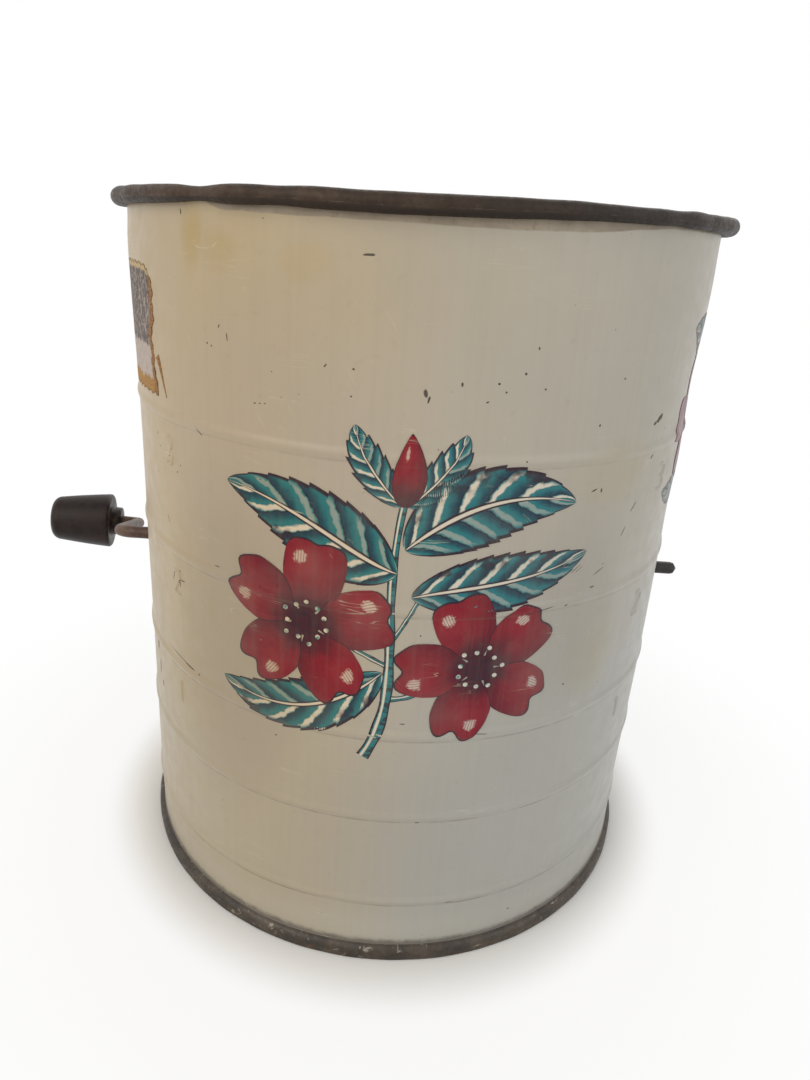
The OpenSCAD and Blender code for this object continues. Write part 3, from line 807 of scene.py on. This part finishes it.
def petal_ink(crimson, bright, deep, pale, line):
    """Petal colour over u, from the flower's middle to the rim, and v, across from 0 to 1."""
    def ink(t, u, v, flat):
        side = abs(v * 2 - 1)
        cloud = t.noise(flat, 0.35, 3)
        colour = t.mix(t.ramp(u + cloud * 0.3, 0.62, 0.25), crimson, deep)
        vein = abs(t.math("SINE", (side + cloud * 0.12) * 17))
        vein = t.ramp(vein, 0.22, 0) * t.ramp(u, 0.85, 0.35)
        colour = t.mix(t.ramp(v, 0.62, 0.98) * 0.55, t.mix(vein * 0.75, colour, deep), deep)
        colour = t.layers(colour, (t.oval(u, v, 0.68, 0.34, 0.24, 0.24), 1.1, 0.1, 0.3, bright))
        hatch = abs(t.math("SINE", v * 95))
        spot = t.oval(u, v, 0.74, 0.32, 0.1, 0.09) + (t.noise(flat, 2, 4) - 0.5) * 2
        lit = t.ramp(spot, 1.1, 0.3) * t.ramp(hatch, 0.25, 0.75, 0.25, 0.75)
        edge = t.any_of(t.ramp(side, 0.93, 0.985), t.ramp(u, 0.962, 0.985))
        return t.mix(edge, t.mix(lit, colour, pale), line)
    return ink


def leaf_ink(teal, dark, pale, line):
    """Leaf colour over u, from stalk to tip, and v, across from 0 to 1: pale midrib, slanted pale veins with
    dark beside them, and a dark toothed edge."""
    def ink(t, u, v, flat):
        side = v * 2 - 1
        out = abs(side)
        cloud = t.noise(flat, 0.7, 3) - 0.5
        band = t.math("FRACT", u * 6 + out * -1.15 + (8 + cloud * 0.35))
        colour = t.mix(t.ramp(band, 0.45, 0.95), teal, dark)
        gleam = t.ramp(abs(band - 0.24), 0.17, 0.07) * t.ramp(out, 0.92, 0.7)
        colour = t.mix(gleam * t.ramp(side, -0.2, 0.15, 0.35, 1), colour, pale)
        rib = 0.075 + u * -0.04
        colour = t.layers(colour, (abs(band - 0.02), 0.05, 0.02, 1, line),
                          (out, rib * 2.2, rib * 1.4, 1, line), (out, rib, rib * 0.6, 1, pale))
        blush = t.ramp(t.noise(flat, 0.32, 3), 0.48, 0.62) * t.ramp(side, 0.35, 0.75)
        return t.layers(t.mix(blush * 0.8, colour, line), (out, 0.86, 0.93, 1, line))
    return ink


def stem_ink(teal, pale, line):
    """Stem colour over v across: dark edges, a pale light on one side, teal between, with dark flecks."""
    def ink(t, _, v, flat):
        fleck = t.noise(t.mapped(flat, scale=(0.5, 1.3, 1)), 1, 3)
        return t.layers(teal, (fleck, 0.48, 0.62, 0.8, line), (abs(v - 0.66), 0.16, 0.06, 1, pale),
                        (abs(v - 0.5), 0.34, 0.42, 1, line))
    return ink


def plain_ink(main, other):
    """One ink with small clouds of another."""
    return lambda t, _u, _v, flat: t.mix(t.ramp(t.noise(flat, 1.2, 4), 0.4, 0.7), main, other)


def ink_set(name, colours):
    """The materials of one spray: petal, leaf, stem, flower's middle and pollen."""
    petal, bright, deep, pale, teal, dark, line = (tint(*colour) for colour in colours)
    inks = {"petal": petal_ink(petal, bright, deep, pale, line), "leaf": leaf_ink(teal, dark, pale, line),
            "stem": stem_ink(teal, pale, line), "heart": plain_ink(deep, line),
            "pollen": plain_ink(pale, teal)}
    return {part: print_finish(f"{name}_{part}", ink) for part, ink in inks.items()}


# A flat shape is (x, y, u, v, lift): its places in mm from the spray's middle, u from 0 to 1 down the rows,
# v from -1 to 1 across, and how far it stands off the paint.
def grid(rows, columns, start=0, end=1):
    """A column of values from start to end and a row of values from -1 to 1."""
    return np.linspace(start, end, rows)[:, None], np.linspace(-1, 1, columns)[None, :]


def petals(at, size, turn):
    """Five petals round a point. At angle a + v * half and reach u the place is
    rmin + (rim(v) - rmin) u, the rim being notched in the middle and rounded at the sides."""
    u, v = grid(22, 25)
    half = np.radians(39) * (0.62 + 0.38 * np.sin(np.pi * np.clip(u * 0.8 + 0.1, 0, 1)))
    shapes = []
    for k in range(5):
        rim = 1 - 0.1 * np.exp(-(v / 0.22) ** 2) - 0.3 * np.abs(v) ** 3.2 + 0.02 * np.cos(9 * v + k)
        reach = size * (0.13 + (rim - 0.13) * u)
        a = np.radians(turn + 72 * k) + half * v
        shapes.append((at[0] + reach * np.sin(a), at[1] + reach * np.cos(a), u, v, 0.085 + 0.007 * k))
    return shapes


def bud_petal(at, width, length):
    """A closed bud: half width sin(pi u^0.7)^0.8, drawn to a point."""
    u, v = grid(30, 13, 0.01, 0.995)
    half = width / 2 * np.sin(np.pi * u ** 0.7) ** 0.8
    return at[0] + half * v + 0.6 * np.sin(2.2 * u), at[1] + (u - 0.5) * length, u, v, 0.085


def round_patch(at, size, lift, rows=20, ragged=0):
    """A small disc: rows of chords, half chord sqrt(1 - t^2)."""
    t, v = grid(rows, 7, -0.995, 0.995)
    half = np.sqrt(1 - t ** 2) * (1 + ragged * np.sin(7 * t + at[0]))
    return at[0] + size * half * v, at[1] + size * t, (t + 1) / 2, v, lift


def curve_points(knots, count):
    """A smooth curve through knots: a cubic Bezier for four of them."""
    t = np.linspace(0, 1, count)[:, None]
    a, b, c, d = (np.array(k, float) for k in knots)
    return a * (1 - t) ** 3 + 3 * b * t * (1 - t) ** 2 + 3 * c * t ** 2 * (1 - t) + d * t ** 3


def beside(path, across, ahead=0):
    """The x and y of places off a flat path: a distance along its normal and one along its tangent."""
    way = unit(np.gradient(path, axis=0))
    return (path[:, :1] - way[:, 1:] * across + way[:, :1] * ahead,
            path[:, 1:] + way[:, :1] * across + way[:, 1:] * ahead)


def strip(knots, width, end_width, count=40, lift=0.03):
    """A strip along a curve, its half width going from one value to the other."""
    u, v = grid(count, 7)
    half = (width * (1 - u) + end_width * u) / 2 * (1 + 0.1 * np.sin(u * 31 + knots[0][0]))
    return *beside(curve_points(knots, count), half * v), u, v, lift


def leaf(knots, width, teeth=11):
    """A leaf along a curve: half width sin(pi u^0.85)^0.75, its edge cut into forward-leaning teeth."""
    count = teeth * 8 + 1
    u, v = grid(count, 15)
    tooth = ((u * teeth) % 1) * np.sin(np.pi * u)
    half = width / 2 * (np.sin(np.pi * u ** 0.85) ** 0.75 + 0.02) + 0.55 * tooth * (u < 0.97)
    return *beside(curve_points(knots, count), half * v, 0.9 * np.abs(v) ** 3 * tooth), u, v, 0.055


def spray_shapes(turns):
    """The printed spray: an upright stem, two open flowers, each turned by an angle of its own, a bud and
    leaves."""
    hearts = (-14.2, -4.6), (15.2, -11)
    shapes = {"petal": petals(hearts[0], 15.4, turns[0]) + petals(hearts[1], 14.6, turns[1])
              + [bud_petal((1, 22.6), 5.2, 11.5)]}
    shapes["leaf"] = [leaf([(0.5, 6), (-7, 8), (-15, 16), (-29, 17)], 12),
                      leaf([(1.5, 10), (8, 16), (16, 21), (29, 17.5)], 12),
                      leaf([(3, 2), (12, 4.5), (22, 4), (33, 8.5)], 9.5),
                      leaf([(-1, -12), (-8, -20), (-19, -24), (-31, -20)], 9.5),
                      leaf([(0.5, 17), (-3.5, 21), (-6.5, 25), (-7, 29)], 5, 6),
                      leaf([(1.5, 17), (5, 20), (9, 24.5), (9.5, 28.5)], 5, 6)]
    shapes["stem"] = [strip([(-3.5, -29), (3.5, -16), (-2.5, -2), (1, 18)], 2.3, 1.1, 60),
                      strip([(0.4, -11), (-4, -9), (-8, -7), (-12, -5)], 1, 0.8, 30, 0.02),
                      strip([(0, -17), (5, -17), (9, -13), (12.8, -10.5)], 1.1, 0.8, 30, 0.02),
                      strip([(0.3, -6), (4, 0), (3, 1), (6, 3)], 0.8, 0.6, 20, 0.02)]
    shapes["heart"] = [round_patch(heart, 2.5, 0.125, ragged=0.05) for heart in hearts]
    shapes["pollen"] = []
    for x, y in hearts:
        for k in range(11):
            a = 2 * np.pi * k / 11 + x
            reach = 3.6 + 0.5 * np.sin(5 * a)
            spot = (x + reach * np.sin(a), y + reach * np.cos(a))
            shapes["pollen"].append(round_patch(spot, 0.42, 0.135, 8))
    return shapes


def printed_spray(name, inks, at_arc, at_z, size=1, turns=(8, -20)):
    """One spray on the wall, each ink a piece of its own."""
    for ink, shapes in spray_shapes(turns).items():
        stacks = [(wall_patch(at_arc + size * x, at_z + size * y, lift), patch_uv(u, (v + 1) / 2), 0)
                  for x, y, u, v, lift in shapes]
        solid(f"{name}_{ink}", stacks, [inks[ink]], "can")


# The inks of a spray: petal, its light and its shade, highlight, leaf, its shade, outline
front_inks = ink_set("print", ((130, 24, 39), (160, 44, 54), (68, 22, 36), (214, 203, 184), (42, 116, 120),
                               (30, 62, 76), (44, 26, 40)))
faded_inks = ink_set("faded_print", ((150, 112, 116), (172, 140, 142), (116, 84, 92), (177, 167, 151),
                                     (98, 118, 116), (76, 84, 84), (92, 76, 80)))
printed_spray("front_spray", front_inks, -1, 76)
printed_spray("right_spray", faded_inks, 79.5, 106, 0.78, (-86, 10))
printed_spray("left_spray", faded_inks, -100, 104, 0.78)


def ridge(points, width, height):
    """An embossed line through (arc, z) points: its height over the wall is height cos^2 across it, and it
    dies away at both ends."""
    points = np.asarray(points, float)
    along = gone_along(points)
    s = np.linspace(0, along[-1], max(12, int(along[-1] / 0.25)))
    path = np.stack([np.interp(s, along, points[:, k]) for k in (0, 1)], -1)
    v = np.linspace(-1, 1, 11)[None, :]
    fade = ease(s / 0.7) * ease((s[-1] - s) / 0.7)
    lift = height * np.cos(np.pi / 2 * v) ** 2 * fade[:, None] - 0.012
    return wall_patch(*beside(path, v * width / 2), lift)


def arc_points(centre, radius, start, end, count=24):
    """Points of a circle's arc, angles in degrees from +arc."""
    a = np.radians(np.linspace(start, end, count))
    return np.stack([centre[0] + radius * np.cos(a), centre[1] + radius * np.sin(a)], -1)


def embossed_digits():
    """The plain cup numbers 3, 2 and 1, each under its own ring, pressed out of the wall."""
    three = np.concatenate([arc_points((0, 1.15), 1.15, 150, -80), arc_points((0, -1.3), 1.3, 80, -150)])
    two = np.concatenate([arc_points((0, 1.1), 1.2, 165, -35), [[-1.3, -2.5], [1.4, -2.5]]])
    one = np.array([[-0.9, 1.4], [0.1, 2.3], [0.1, -2.5]])
    stacks = [(ridge(digit + [at, z], 1, 0.3), None, 0)
              for digit, z in ((three, 94.3), (two, 69.4), (one, 45.6)) for at in (-46, 52, 126, -135)]
    solid("cup_numbers", stacks, [ENAMEL_PLAIN], "can")


embossed_digits()


def label_paint(t):
    """Torn printed paper with nothing legible: a mottled grey block, a paler one below it, a tan strip at
    the foot and a brown fibrous tear down its side."""
    flat = t.group(wall_place)[2]
    u, v = t.uv()
    cloud = t.noise(flat, 0.8, 5, 0.7)
    grain = t.noise(flat, 3.2, 4, 0.7)
    upright = t.noise(t.mapped(flat, scale=(1.6, 0.7, 1)), 1, 4, 0.7, 1.2)
    block = t.layers(tint(92, 84, 82), (upright, 0.47, 0.58, 1, tint(160, 148, 140)),
                     (grain, 0.5, 0.7, 0.4, tint(70, 62, 60)))
    paper = t.layers(tint(184, 172, 164), (cloud, 0.4, 0.7, 0.5, tint(150, 136, 126)))
    tan = t.layers(tint(176, 134, 76), (grain, 0.42, 0.66, 1, tint(120, 86, 52)))
    fibres = t.layers(tint(168, 122, 70), (grain, 0.4, 0.62, 1, tint(84, 62, 44)))
    row = v + (t.noise(flat, 0.5, 3) - 0.5) * 0.1
    torn = u + (grain - 0.5) * 0.14
    border = v + (cloud - 0.5) * 0.05
    colour = t.layers(paper, (row, 0.36, 0.39, 1, block), (row, 0.135, 0.105, 1, tan),
                      (torn, 0.9, 0.93, 1, fibres), (torn, 0.985, 1.02, 1, tint(70, 52, 38)),
                      (border, 0.945, 0.965, 1, tint(186, 166, 128)))
    rim = t.any_of(t.ramp(v, 0.98, 0.995), t.ramp(v, 0.02, 0.005))
    return t.mix(rim * 0.7, colour, tint(112, 88, 58)), 0.7, cloud * 0.1 + grain * 0.04


def paper_label():
    """The label's remnant: its right edge wanders by a sum of sines, and lifts a little where it is torn."""
    v = np.linspace(0, 1, 90)[:, None]
    u = np.linspace(0, 1, 44)[None, :]
    left, right = (np.radians(a) * CAN_R for a in LABEL_TURN)
    tear = (0.55 * np.sin(9 * v + 1) + 0.35 * np.sin(23 * v) + 0.22 * np.sin(61 * v + 2)
            + 1.5 * (v - 0.55) ** 2 - 1 + 0.9 * ease((0.12 - v) / 0.1))
    edge = right + np.minimum(tear, 0) - 1.1 * ease((v - 0.8) / 0.2)
    ragged_top = LABEL_Z[1] - 0.25 + 0.18 * np.sin(37 * u) + 0.12 * np.sin(83 * u + 1) - 0.8 * u ** 8
    ragged_low = LABEL_Z[0] + 0.3 + 0.2 * np.sin(41 * u + 2) + 0.1 * np.sin(97 * u)
    z = ragged_low + (ragged_top - ragged_low) * v
    lift = 0.05 + 0.08 * u ** 8 * (0.5 + 0.5 * np.sin(14 * v)) + 0.012 * np.sin(22 * v + 9 * u)
    stacks = [(wall_patch(left + (edge - left) * u, z, lift, 0.03), patch_uv(u, v), 0)]
    shred = [(-48.6, 109.6), (-47.6, 108), (-47, 106.2), (-45.7, 103.2)]
    x, y, _, v, lift = strip(shred, 1.3, 0.1, 24, 0.06)
    stacks.append((wall_patch(x, y, lift, 0.03), patch_uv(0 * x + 0.95, 0.35 + 0.05 * v), 0))
    label = solid("torn_label", stacks, [finish_of("torn_label_paper", label_paint, specular=0.25, bump=0.9)],
                  "can")
    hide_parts("paper_label")


paper_label()


# ---------------- crank, knob, agitator, screen
def crank_rod():
    """One wire: nub, shaft, arm and pin, its corners bent round, with a hammered end inside the knob."""
    arm_corner = np.array([-(CAN_R + ARM_OUT), 0, SHAFT_Z])
    corners = [(CAN_R + NUB_OUT, 0, SHAFT_Z), arm_corner, PIN_CORNER, PIN_CORNER + PIN_AXIS * PIN_L]
    path = bent_path(corners, [ARM_BEND_R, PIN_BEND_R], 0.7)
    gone = gone_along(path)
    left = gone[-1] - gone
    radius = ROD_R * np.sqrt(np.clip(1 - ((1.4 - gone) / 1.4).clip(0) ** 2, 0.02, 1))
    head = ease((1.1 - left) / 0.5) * 0.55 * (1 - ease((0.35 - left) / 0.5))
    wave = 0.03 * np.sin(gone * 0.9) * ease((gone - 120) / 6) * ease((left - 8) / 4)
    across = unit(np.cross(X_AXIS, PIN_CORNER - arm_corner))
    rod = solid("crank_wire", [(tube(path, across, radius + head + wave, 20), None, 0)], [RUSTY_WIRE],
                "crank")
    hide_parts("crank_rod")


def knob_piece():
    """The turned knob: bore, neck, tapered body with a softened edge and end, and the washer's recess,
    as a profile spun round the pin."""
    a = np.radians(np.linspace(0, 90, 12))[:, None]
    corner = [KNOB_R - KNOB_EDGE_R, KNOB_BODY + KNOB_EDGE_R]
    corner = corner + KNOB_EDGE_R * np.hstack([np.cos(a[::-1]), -np.sin(a[::-1])])
    end = [KNOB_END_R - KNOB_TIP_R, KNOB_END - KNOB_TIP_R] + KNOB_TIP_R * np.hstack([np.cos(a), np.sin(a)])
    neck = [[1.5, KNOB_START], [3.3, KNOB_START], [3.6, 5.1], [3.75, 5.35], [3.78, 6.3], [3.9, 7.2],
            [4.3, 7.46], [5.2, KNOB_BODY]]
    t = np.linspace(0.06, 0.94, 16)[:, None]
    side = corner[-1] * (1 - t) + end[0] * t + np.hstack([0.1 * np.sin(np.pi * t), 0 * t])
    recess = [[3.2, 22.85], [3.1, 22.7], [3.1, 21.1], [1.6, 21], [1.5, 20.8]]
    profile = np.concatenate([neck, corner, side, end, recess])
    rings = turned(profile, PIN_CORNER, PIN_AXIS, 72)
    v = (profile[:, 1:] - KNOB_START) / (KNOB_END - KNOB_START)
    uv = np.stack(np.broadcast_arrays(np.linspace(0, 1, 72)[None, :], v), -1)
    wood = finish_of("black_turned_wood", knob_paint, specular=0.2, bump=0.7)
    knob = solid("turned_knob", [(rings, uv, 0)], [wood], "knob", 50, True)
    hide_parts("knob")


def knob_paint(t):
    """Satin black paint on turned wood: faint turning lines, brown worn edges and ends."""
    place = t.object_mm()
    from_corner = t.out("VectorMath", {0: place, 1: PIN_CORNER.tolist()}, operation="SUBTRACT")
    along = t.out("VectorMath", {0: from_corner, 1: PIN_AXIS.tolist()}, "Value", operation="DOT_PRODUCT")
    lines = t.noise(t.vector(along * 3), 1, 3, 0.7)
    cloud = t.noise(place, 0.35, 5, 0.65)
    colour = t.layers(tint(27, 18, 15), (cloud, 0.35, 0.7, 1, tint(44, 32, 28)),
                      (lines, 0.5, 0.8, 0.3, tint(28, 20, 17)))
    edge = t.any_of(t.ramp(along, 8.5, 7.4), t.ramp(along, 21.7, 23))
    worn = edge * t.ramp(t.noise(place, 0.9, 5, 0.7), 0.44, 0.64, 0, 0.7)
    colour = t.mix(worn, colour, tint(84, 70, 60))
    return colour, t.ramp(cloud, 0.3, 0.7, 0.34, 0.48), lines * 0.05 + cloud * 0.05


def bows():
    """Four half hoops of wire from hub to hub, in planes a quarter turn apart."""
    start = np.arcsin(1.9 / BOW_R)
    t = np.linspace(start, np.pi - start, 90)
    for k in range(4):
        a = np.radians(ARM_REST + 45 + 90 * k)
        out = np.array([0, np.cos(a), np.sin(a)])
        reach = BOW_R - 0.3 + 0.25 * np.sin(3 * t + k) * np.sin(t) ** 2
        path = -(reach * np.cos(t))[:, None] * X_AXIS + (reach * np.sin(t))[:, None] * out + SHAFT
        rings = tube(path, np.cross(out, X_AXIS), BOW_WIRE_R, 14)
        bow = solid(f"agitator_hoop_{k + 1}", [(rings, None, 0)], [BOW_WIRE], "crank")
        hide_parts(f"agitator_bow_{k + 1}")


def woven_screen():
    """Two layers of wires on a sphere. A wire at offset b runs in the plane b = const, its height being
    shaft_z - sqrt(R^2 - a^2 - b^2), and weaves in and out by its own radius at each crossing."""
    count = int(SCREEN_R / SCREEN_PITCH)
    low = SHAFT_Z - SCREEN_EDGE_Z
    for name, kind in (("screen_warp", 0), ("screen_weft", 1)):
        stacks = []
        for k in range(-count, count + 1):
            b = (k + 0.25) * SCREEN_PITCH
            reach = np.sqrt(max(SCREEN_R ** 2 - low ** 2 - b ** 2, 0))
            if reach < 4:
                continue
            half = int(reach / SCREEN_PITCH * 2)
            step = np.arange(-half, half + 1)
            a = step * SCREEN_PITCH / 2
            sign = 1 - 2 * ((k + kind) % 2)
            weave = SCREEN_WIRE_R * sign * np.cos(np.pi * (step / 2 - 0.25))
            path = np.stack([a, b + 0 * a, -np.sqrt(SCREEN_R ** 2 - a ** 2 - b ** 2)], -1)
            path *= 1 + weave[:, None] / SCREEN_R
            across = np.array([0, 1, 0])
            if kind:
                path, across = path[:, [1, 0, 2]], X_AXIS
            stacks.append((tube(path + SHAFT, across, SCREEN_WIRE_R, 4), None, 0))
        piece = solid(name, stacks, [SCREEN_WIRE], "can", 80)
        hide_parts("screen_bowl")


crank_rod()
knob_piece()
bows()
woven_screen()


# ---------------- strap handle
def strap_paint(t):
    """The can's enamel on the strap, thin and rubbed through to tin on the rolled edges."""
    place = t.object_mm()
    cloud = t.noise(place, 0.12, 4, 0.6)
    colour = t.layers(CREAM, (cloud, 0.4, 0.7, 0.3, tint(172, 160, 132)))
    edge = t.ramp(abs(t.parts(place)[0]), 8.9, 10.5)
    rub = t.noise(t.mapped(place, scale=(1, 0.16, 0.16)), 0.8, 4, 0.65)
    worn = edge * t.ramp(rub, 0.52, 0.6)
    chips = t.group(chip_specks, place, 5, 0.07, 0.35)[0]
    tin = t.group(tarnished_tin, place, tint(84, 76, 66), tint(130, 122, 108), 0.6)[0]
    colour = t.mix(t.any_of(worn, chips), colour, tin)
    rough = t.ramp(t.noise(place, 0.7, 5, 0.7), 0.3, 0.7, 0.36, 0.54)
    return colour, rough, cloud * 0.15 + worn * -0.05


def strap_handle():
    """A section with two rolled edges carried along foot, arm, grip, arm and foot. Half thickness is
    strap_t/2 in the middle and an ellipse at each edge; on the feet the edges flatten out and the strip
    bends round the wall by R - sqrt(R^2 - x^2)."""
    foot_r = CAN_R + STRAP_T / 2
    corners = [(0, foot_r, FOOT_TOP), (0, foot_r, ARM_TOP_Z), (0, GRIP_Y, ARM_TOP_Z),
               (0, GRIP_Y, ARM_LOW_Z), (0, foot_r, ARM_LOW_Z), (0, foot_r, FOOT_LOW)]
    path = bent_path(corners, [1.6, GRIP_R, GRIP_R, 1.6], 1.2)
    tangent = unit(np.gradient(path, axis=0))
    normal = np.cross(tangent, X_AXIS) * -1
    on_foot = (1 - ease((path[:, 1] - foot_r - 0.3) / 2.5))[:, None]
    bead = (STRAP_W - STRAP_EDGE_W) / 2
    rim = np.linspace(bead - 1.2, STRAP_W / 2, 9)
    x = np.concatenate([-rim[::-1], np.linspace(1.5 - bead, bead - 1.5, 13), rim])
    from_bead = (np.abs(x) - bead) / (STRAP_EDGE_W / 2)
    roll = STRAP_EDGE_T / 2 * np.sqrt(np.clip(1 - from_bead ** 2, 0, 1))
    flat = STRAP_T / 2 * np.sqrt(np.clip((STRAP_W / 2 - np.abs(x)) / 0.35, 0, 1))
    half = np.maximum(on_foot * flat + (1 - on_foot) * np.maximum(roll, flat * (from_bead < 0)), 0.02)
    section = np.concatenate([half, -half[:, ::-1]], axis=1)
    across = np.concatenate([x, x[::-1]])
    rings = path[:, None] + section[..., None] * normal[:, None] + across[None, :, None] * X_AXIS
    rings[..., 1] -= on_foot * (CAN_R - np.sqrt(CAN_R ** 2 - across ** 2))
    enamel = finish_of("strap_enamel", strap_paint, coat=0.1, specular=0.4)
    strap = solid("strap_handle", [(rings, None, 0)], [enamel], "can", 60)
    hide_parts("handle_strap")


strap_handle()

# ---------------- finishes of the kept tin pieces
for node in ("screen_band", "left_bearing_eyelet", "right_bearing_eyelet", "handle_rivets_upper",
             "handle_rivets_lower", "agitator_hub_left", "agitator_hub_right", "knob_washer"):
    kept = frame["nodes"][node].data.materials
    kept.clear()
    kept.append(INNER_TIN if node == "screen_band" else BARE_TIN)


# ---------------- floor, light and camera
WHITE = (1, 1, 1, 1)


def seen_white(t):
    """1 where the camera, a gloss or a clear piece looks, and 0 for the light itself."""
    names = "Is Camera Ray", "Is Glossy Ray", "Is Transmission Ray"
    path = t.node("LightPath", {}).outputs
    return t.any_of(*(Wire(t, path[name]) for name in names))


def placed(name, data):
    """A new object in the scene."""
    piece = bpy.data.objects.new(name, data)
    bpy.context.scene.collection.objects.link(piece)
    return piece


def floor():
    """A pale floor, plain white further out so that it meets the white backdrop without a line."""
    made, t, shader = new_finish("pale_floor", Specular_IOR_Level=0.1, Roughness=0.9,
                                 Base_Color=tint(248, 247, 245))
    x, y, _ = t.parts(t.object_mm())
    far = t.math("SQRT", x ** 2 + y ** 2)
    glow = seen_white(t) * (t.ramp(far, 57.5, 70) * t.ramp(far, 66, 140, 0.82, 1))
    white = t.out("Emission", {"Color": WHITE, "Strength": 1})
    both = t.out("MixShader", {0: glow, 1: Wire(t, shader.outputs[0]), 2: white})
    t.put(made.node_tree.nodes["Material Output"].inputs["Surface"], both)
    a = np.linspace(0, 2 * np.pi, 64, endpoint=False)
    ring = np.stack([3 * np.sin(a), 3 * np.cos(a), np.full(64, -0.0001)], -1)
    mesh = bpy.data.meshes.new("floor")
    mesh.from_pydata(ring.tolist(), [], [list(range(64))[::-1]])
    mesh.materials.append(made)
    placed("floor", mesh)


def backdrop():
    """White where it is seen; an even, dimmer light for the rest."""
    world = bpy.data.worlds.new("studio")
    bpy.context.scene.world = world
    world.use_nodes = True
    t = Tree(world.node_tree)
    t.nodes.clear()
    room = t.out("Background", {"Color": (1, 0.985, 0.96, 1), "Strength": 0.42})
    white = t.out("Background", {"Color": WHITE, "Strength": 1})
    t.node("OutputWorld", {0: t.out("MixShader", {0: seen_white(t), 1: room, 2: white})})


def lamp(name, place, aim_z, size, power, colour):
    """A square soft lamp at a place in metres, turned towards a point of the can's axis."""
    light = bpy.data.lights.new(name, "AREA")
    light.size = size
    light.energy = power
    light.color = colour
    piece = placed(name, light)
    piece.location = place
    piece.rotation_euler = (Vector((0, 0, aim_z)) - Vector(place)).to_track_quat("-Z", "Y").to_euler()


def camera():
    """Close, above the can's middle and turned a little, with a wide lens."""
    data = bpy.data.cameras.new("camera")
    data.lens = 25.52
    data.sensor_width = 36
    data.clip_start = 0.01
    right = Vector((0.997741, 0.022306, 0.063373))
    up = Vector((-0.067116, 0.373411, 0.925235))
    ahead = Vector((0.003026, 0.927398, -0.374064))
    turn = Matrix((right, up, -ahead)).transposed().to_4x4()
    piece = placed("camera", data)
    piece.matrix_world = Matrix.Translation((0, -0.1641, 0.1315)) @ turn
    bpy.context.scene.camera = piece


floor()
backdrop()
lamp("key", (-0.5, -0.55, 0.55), 0.07, 0.7, 3.6, (1, 0.94, 0.85))
lamp("fill", (0.6, -0.4, 0.35), 0.07, 0.7, 1.6, (0.86, 0.94, 1))
lamp("back", (0.1, 0.7, 0.6), 0.08, 0.8, 2.5, (1, 0.97, 0.93))
camera()

bpy.context.scene.view_settings.view_transform = "Standard"
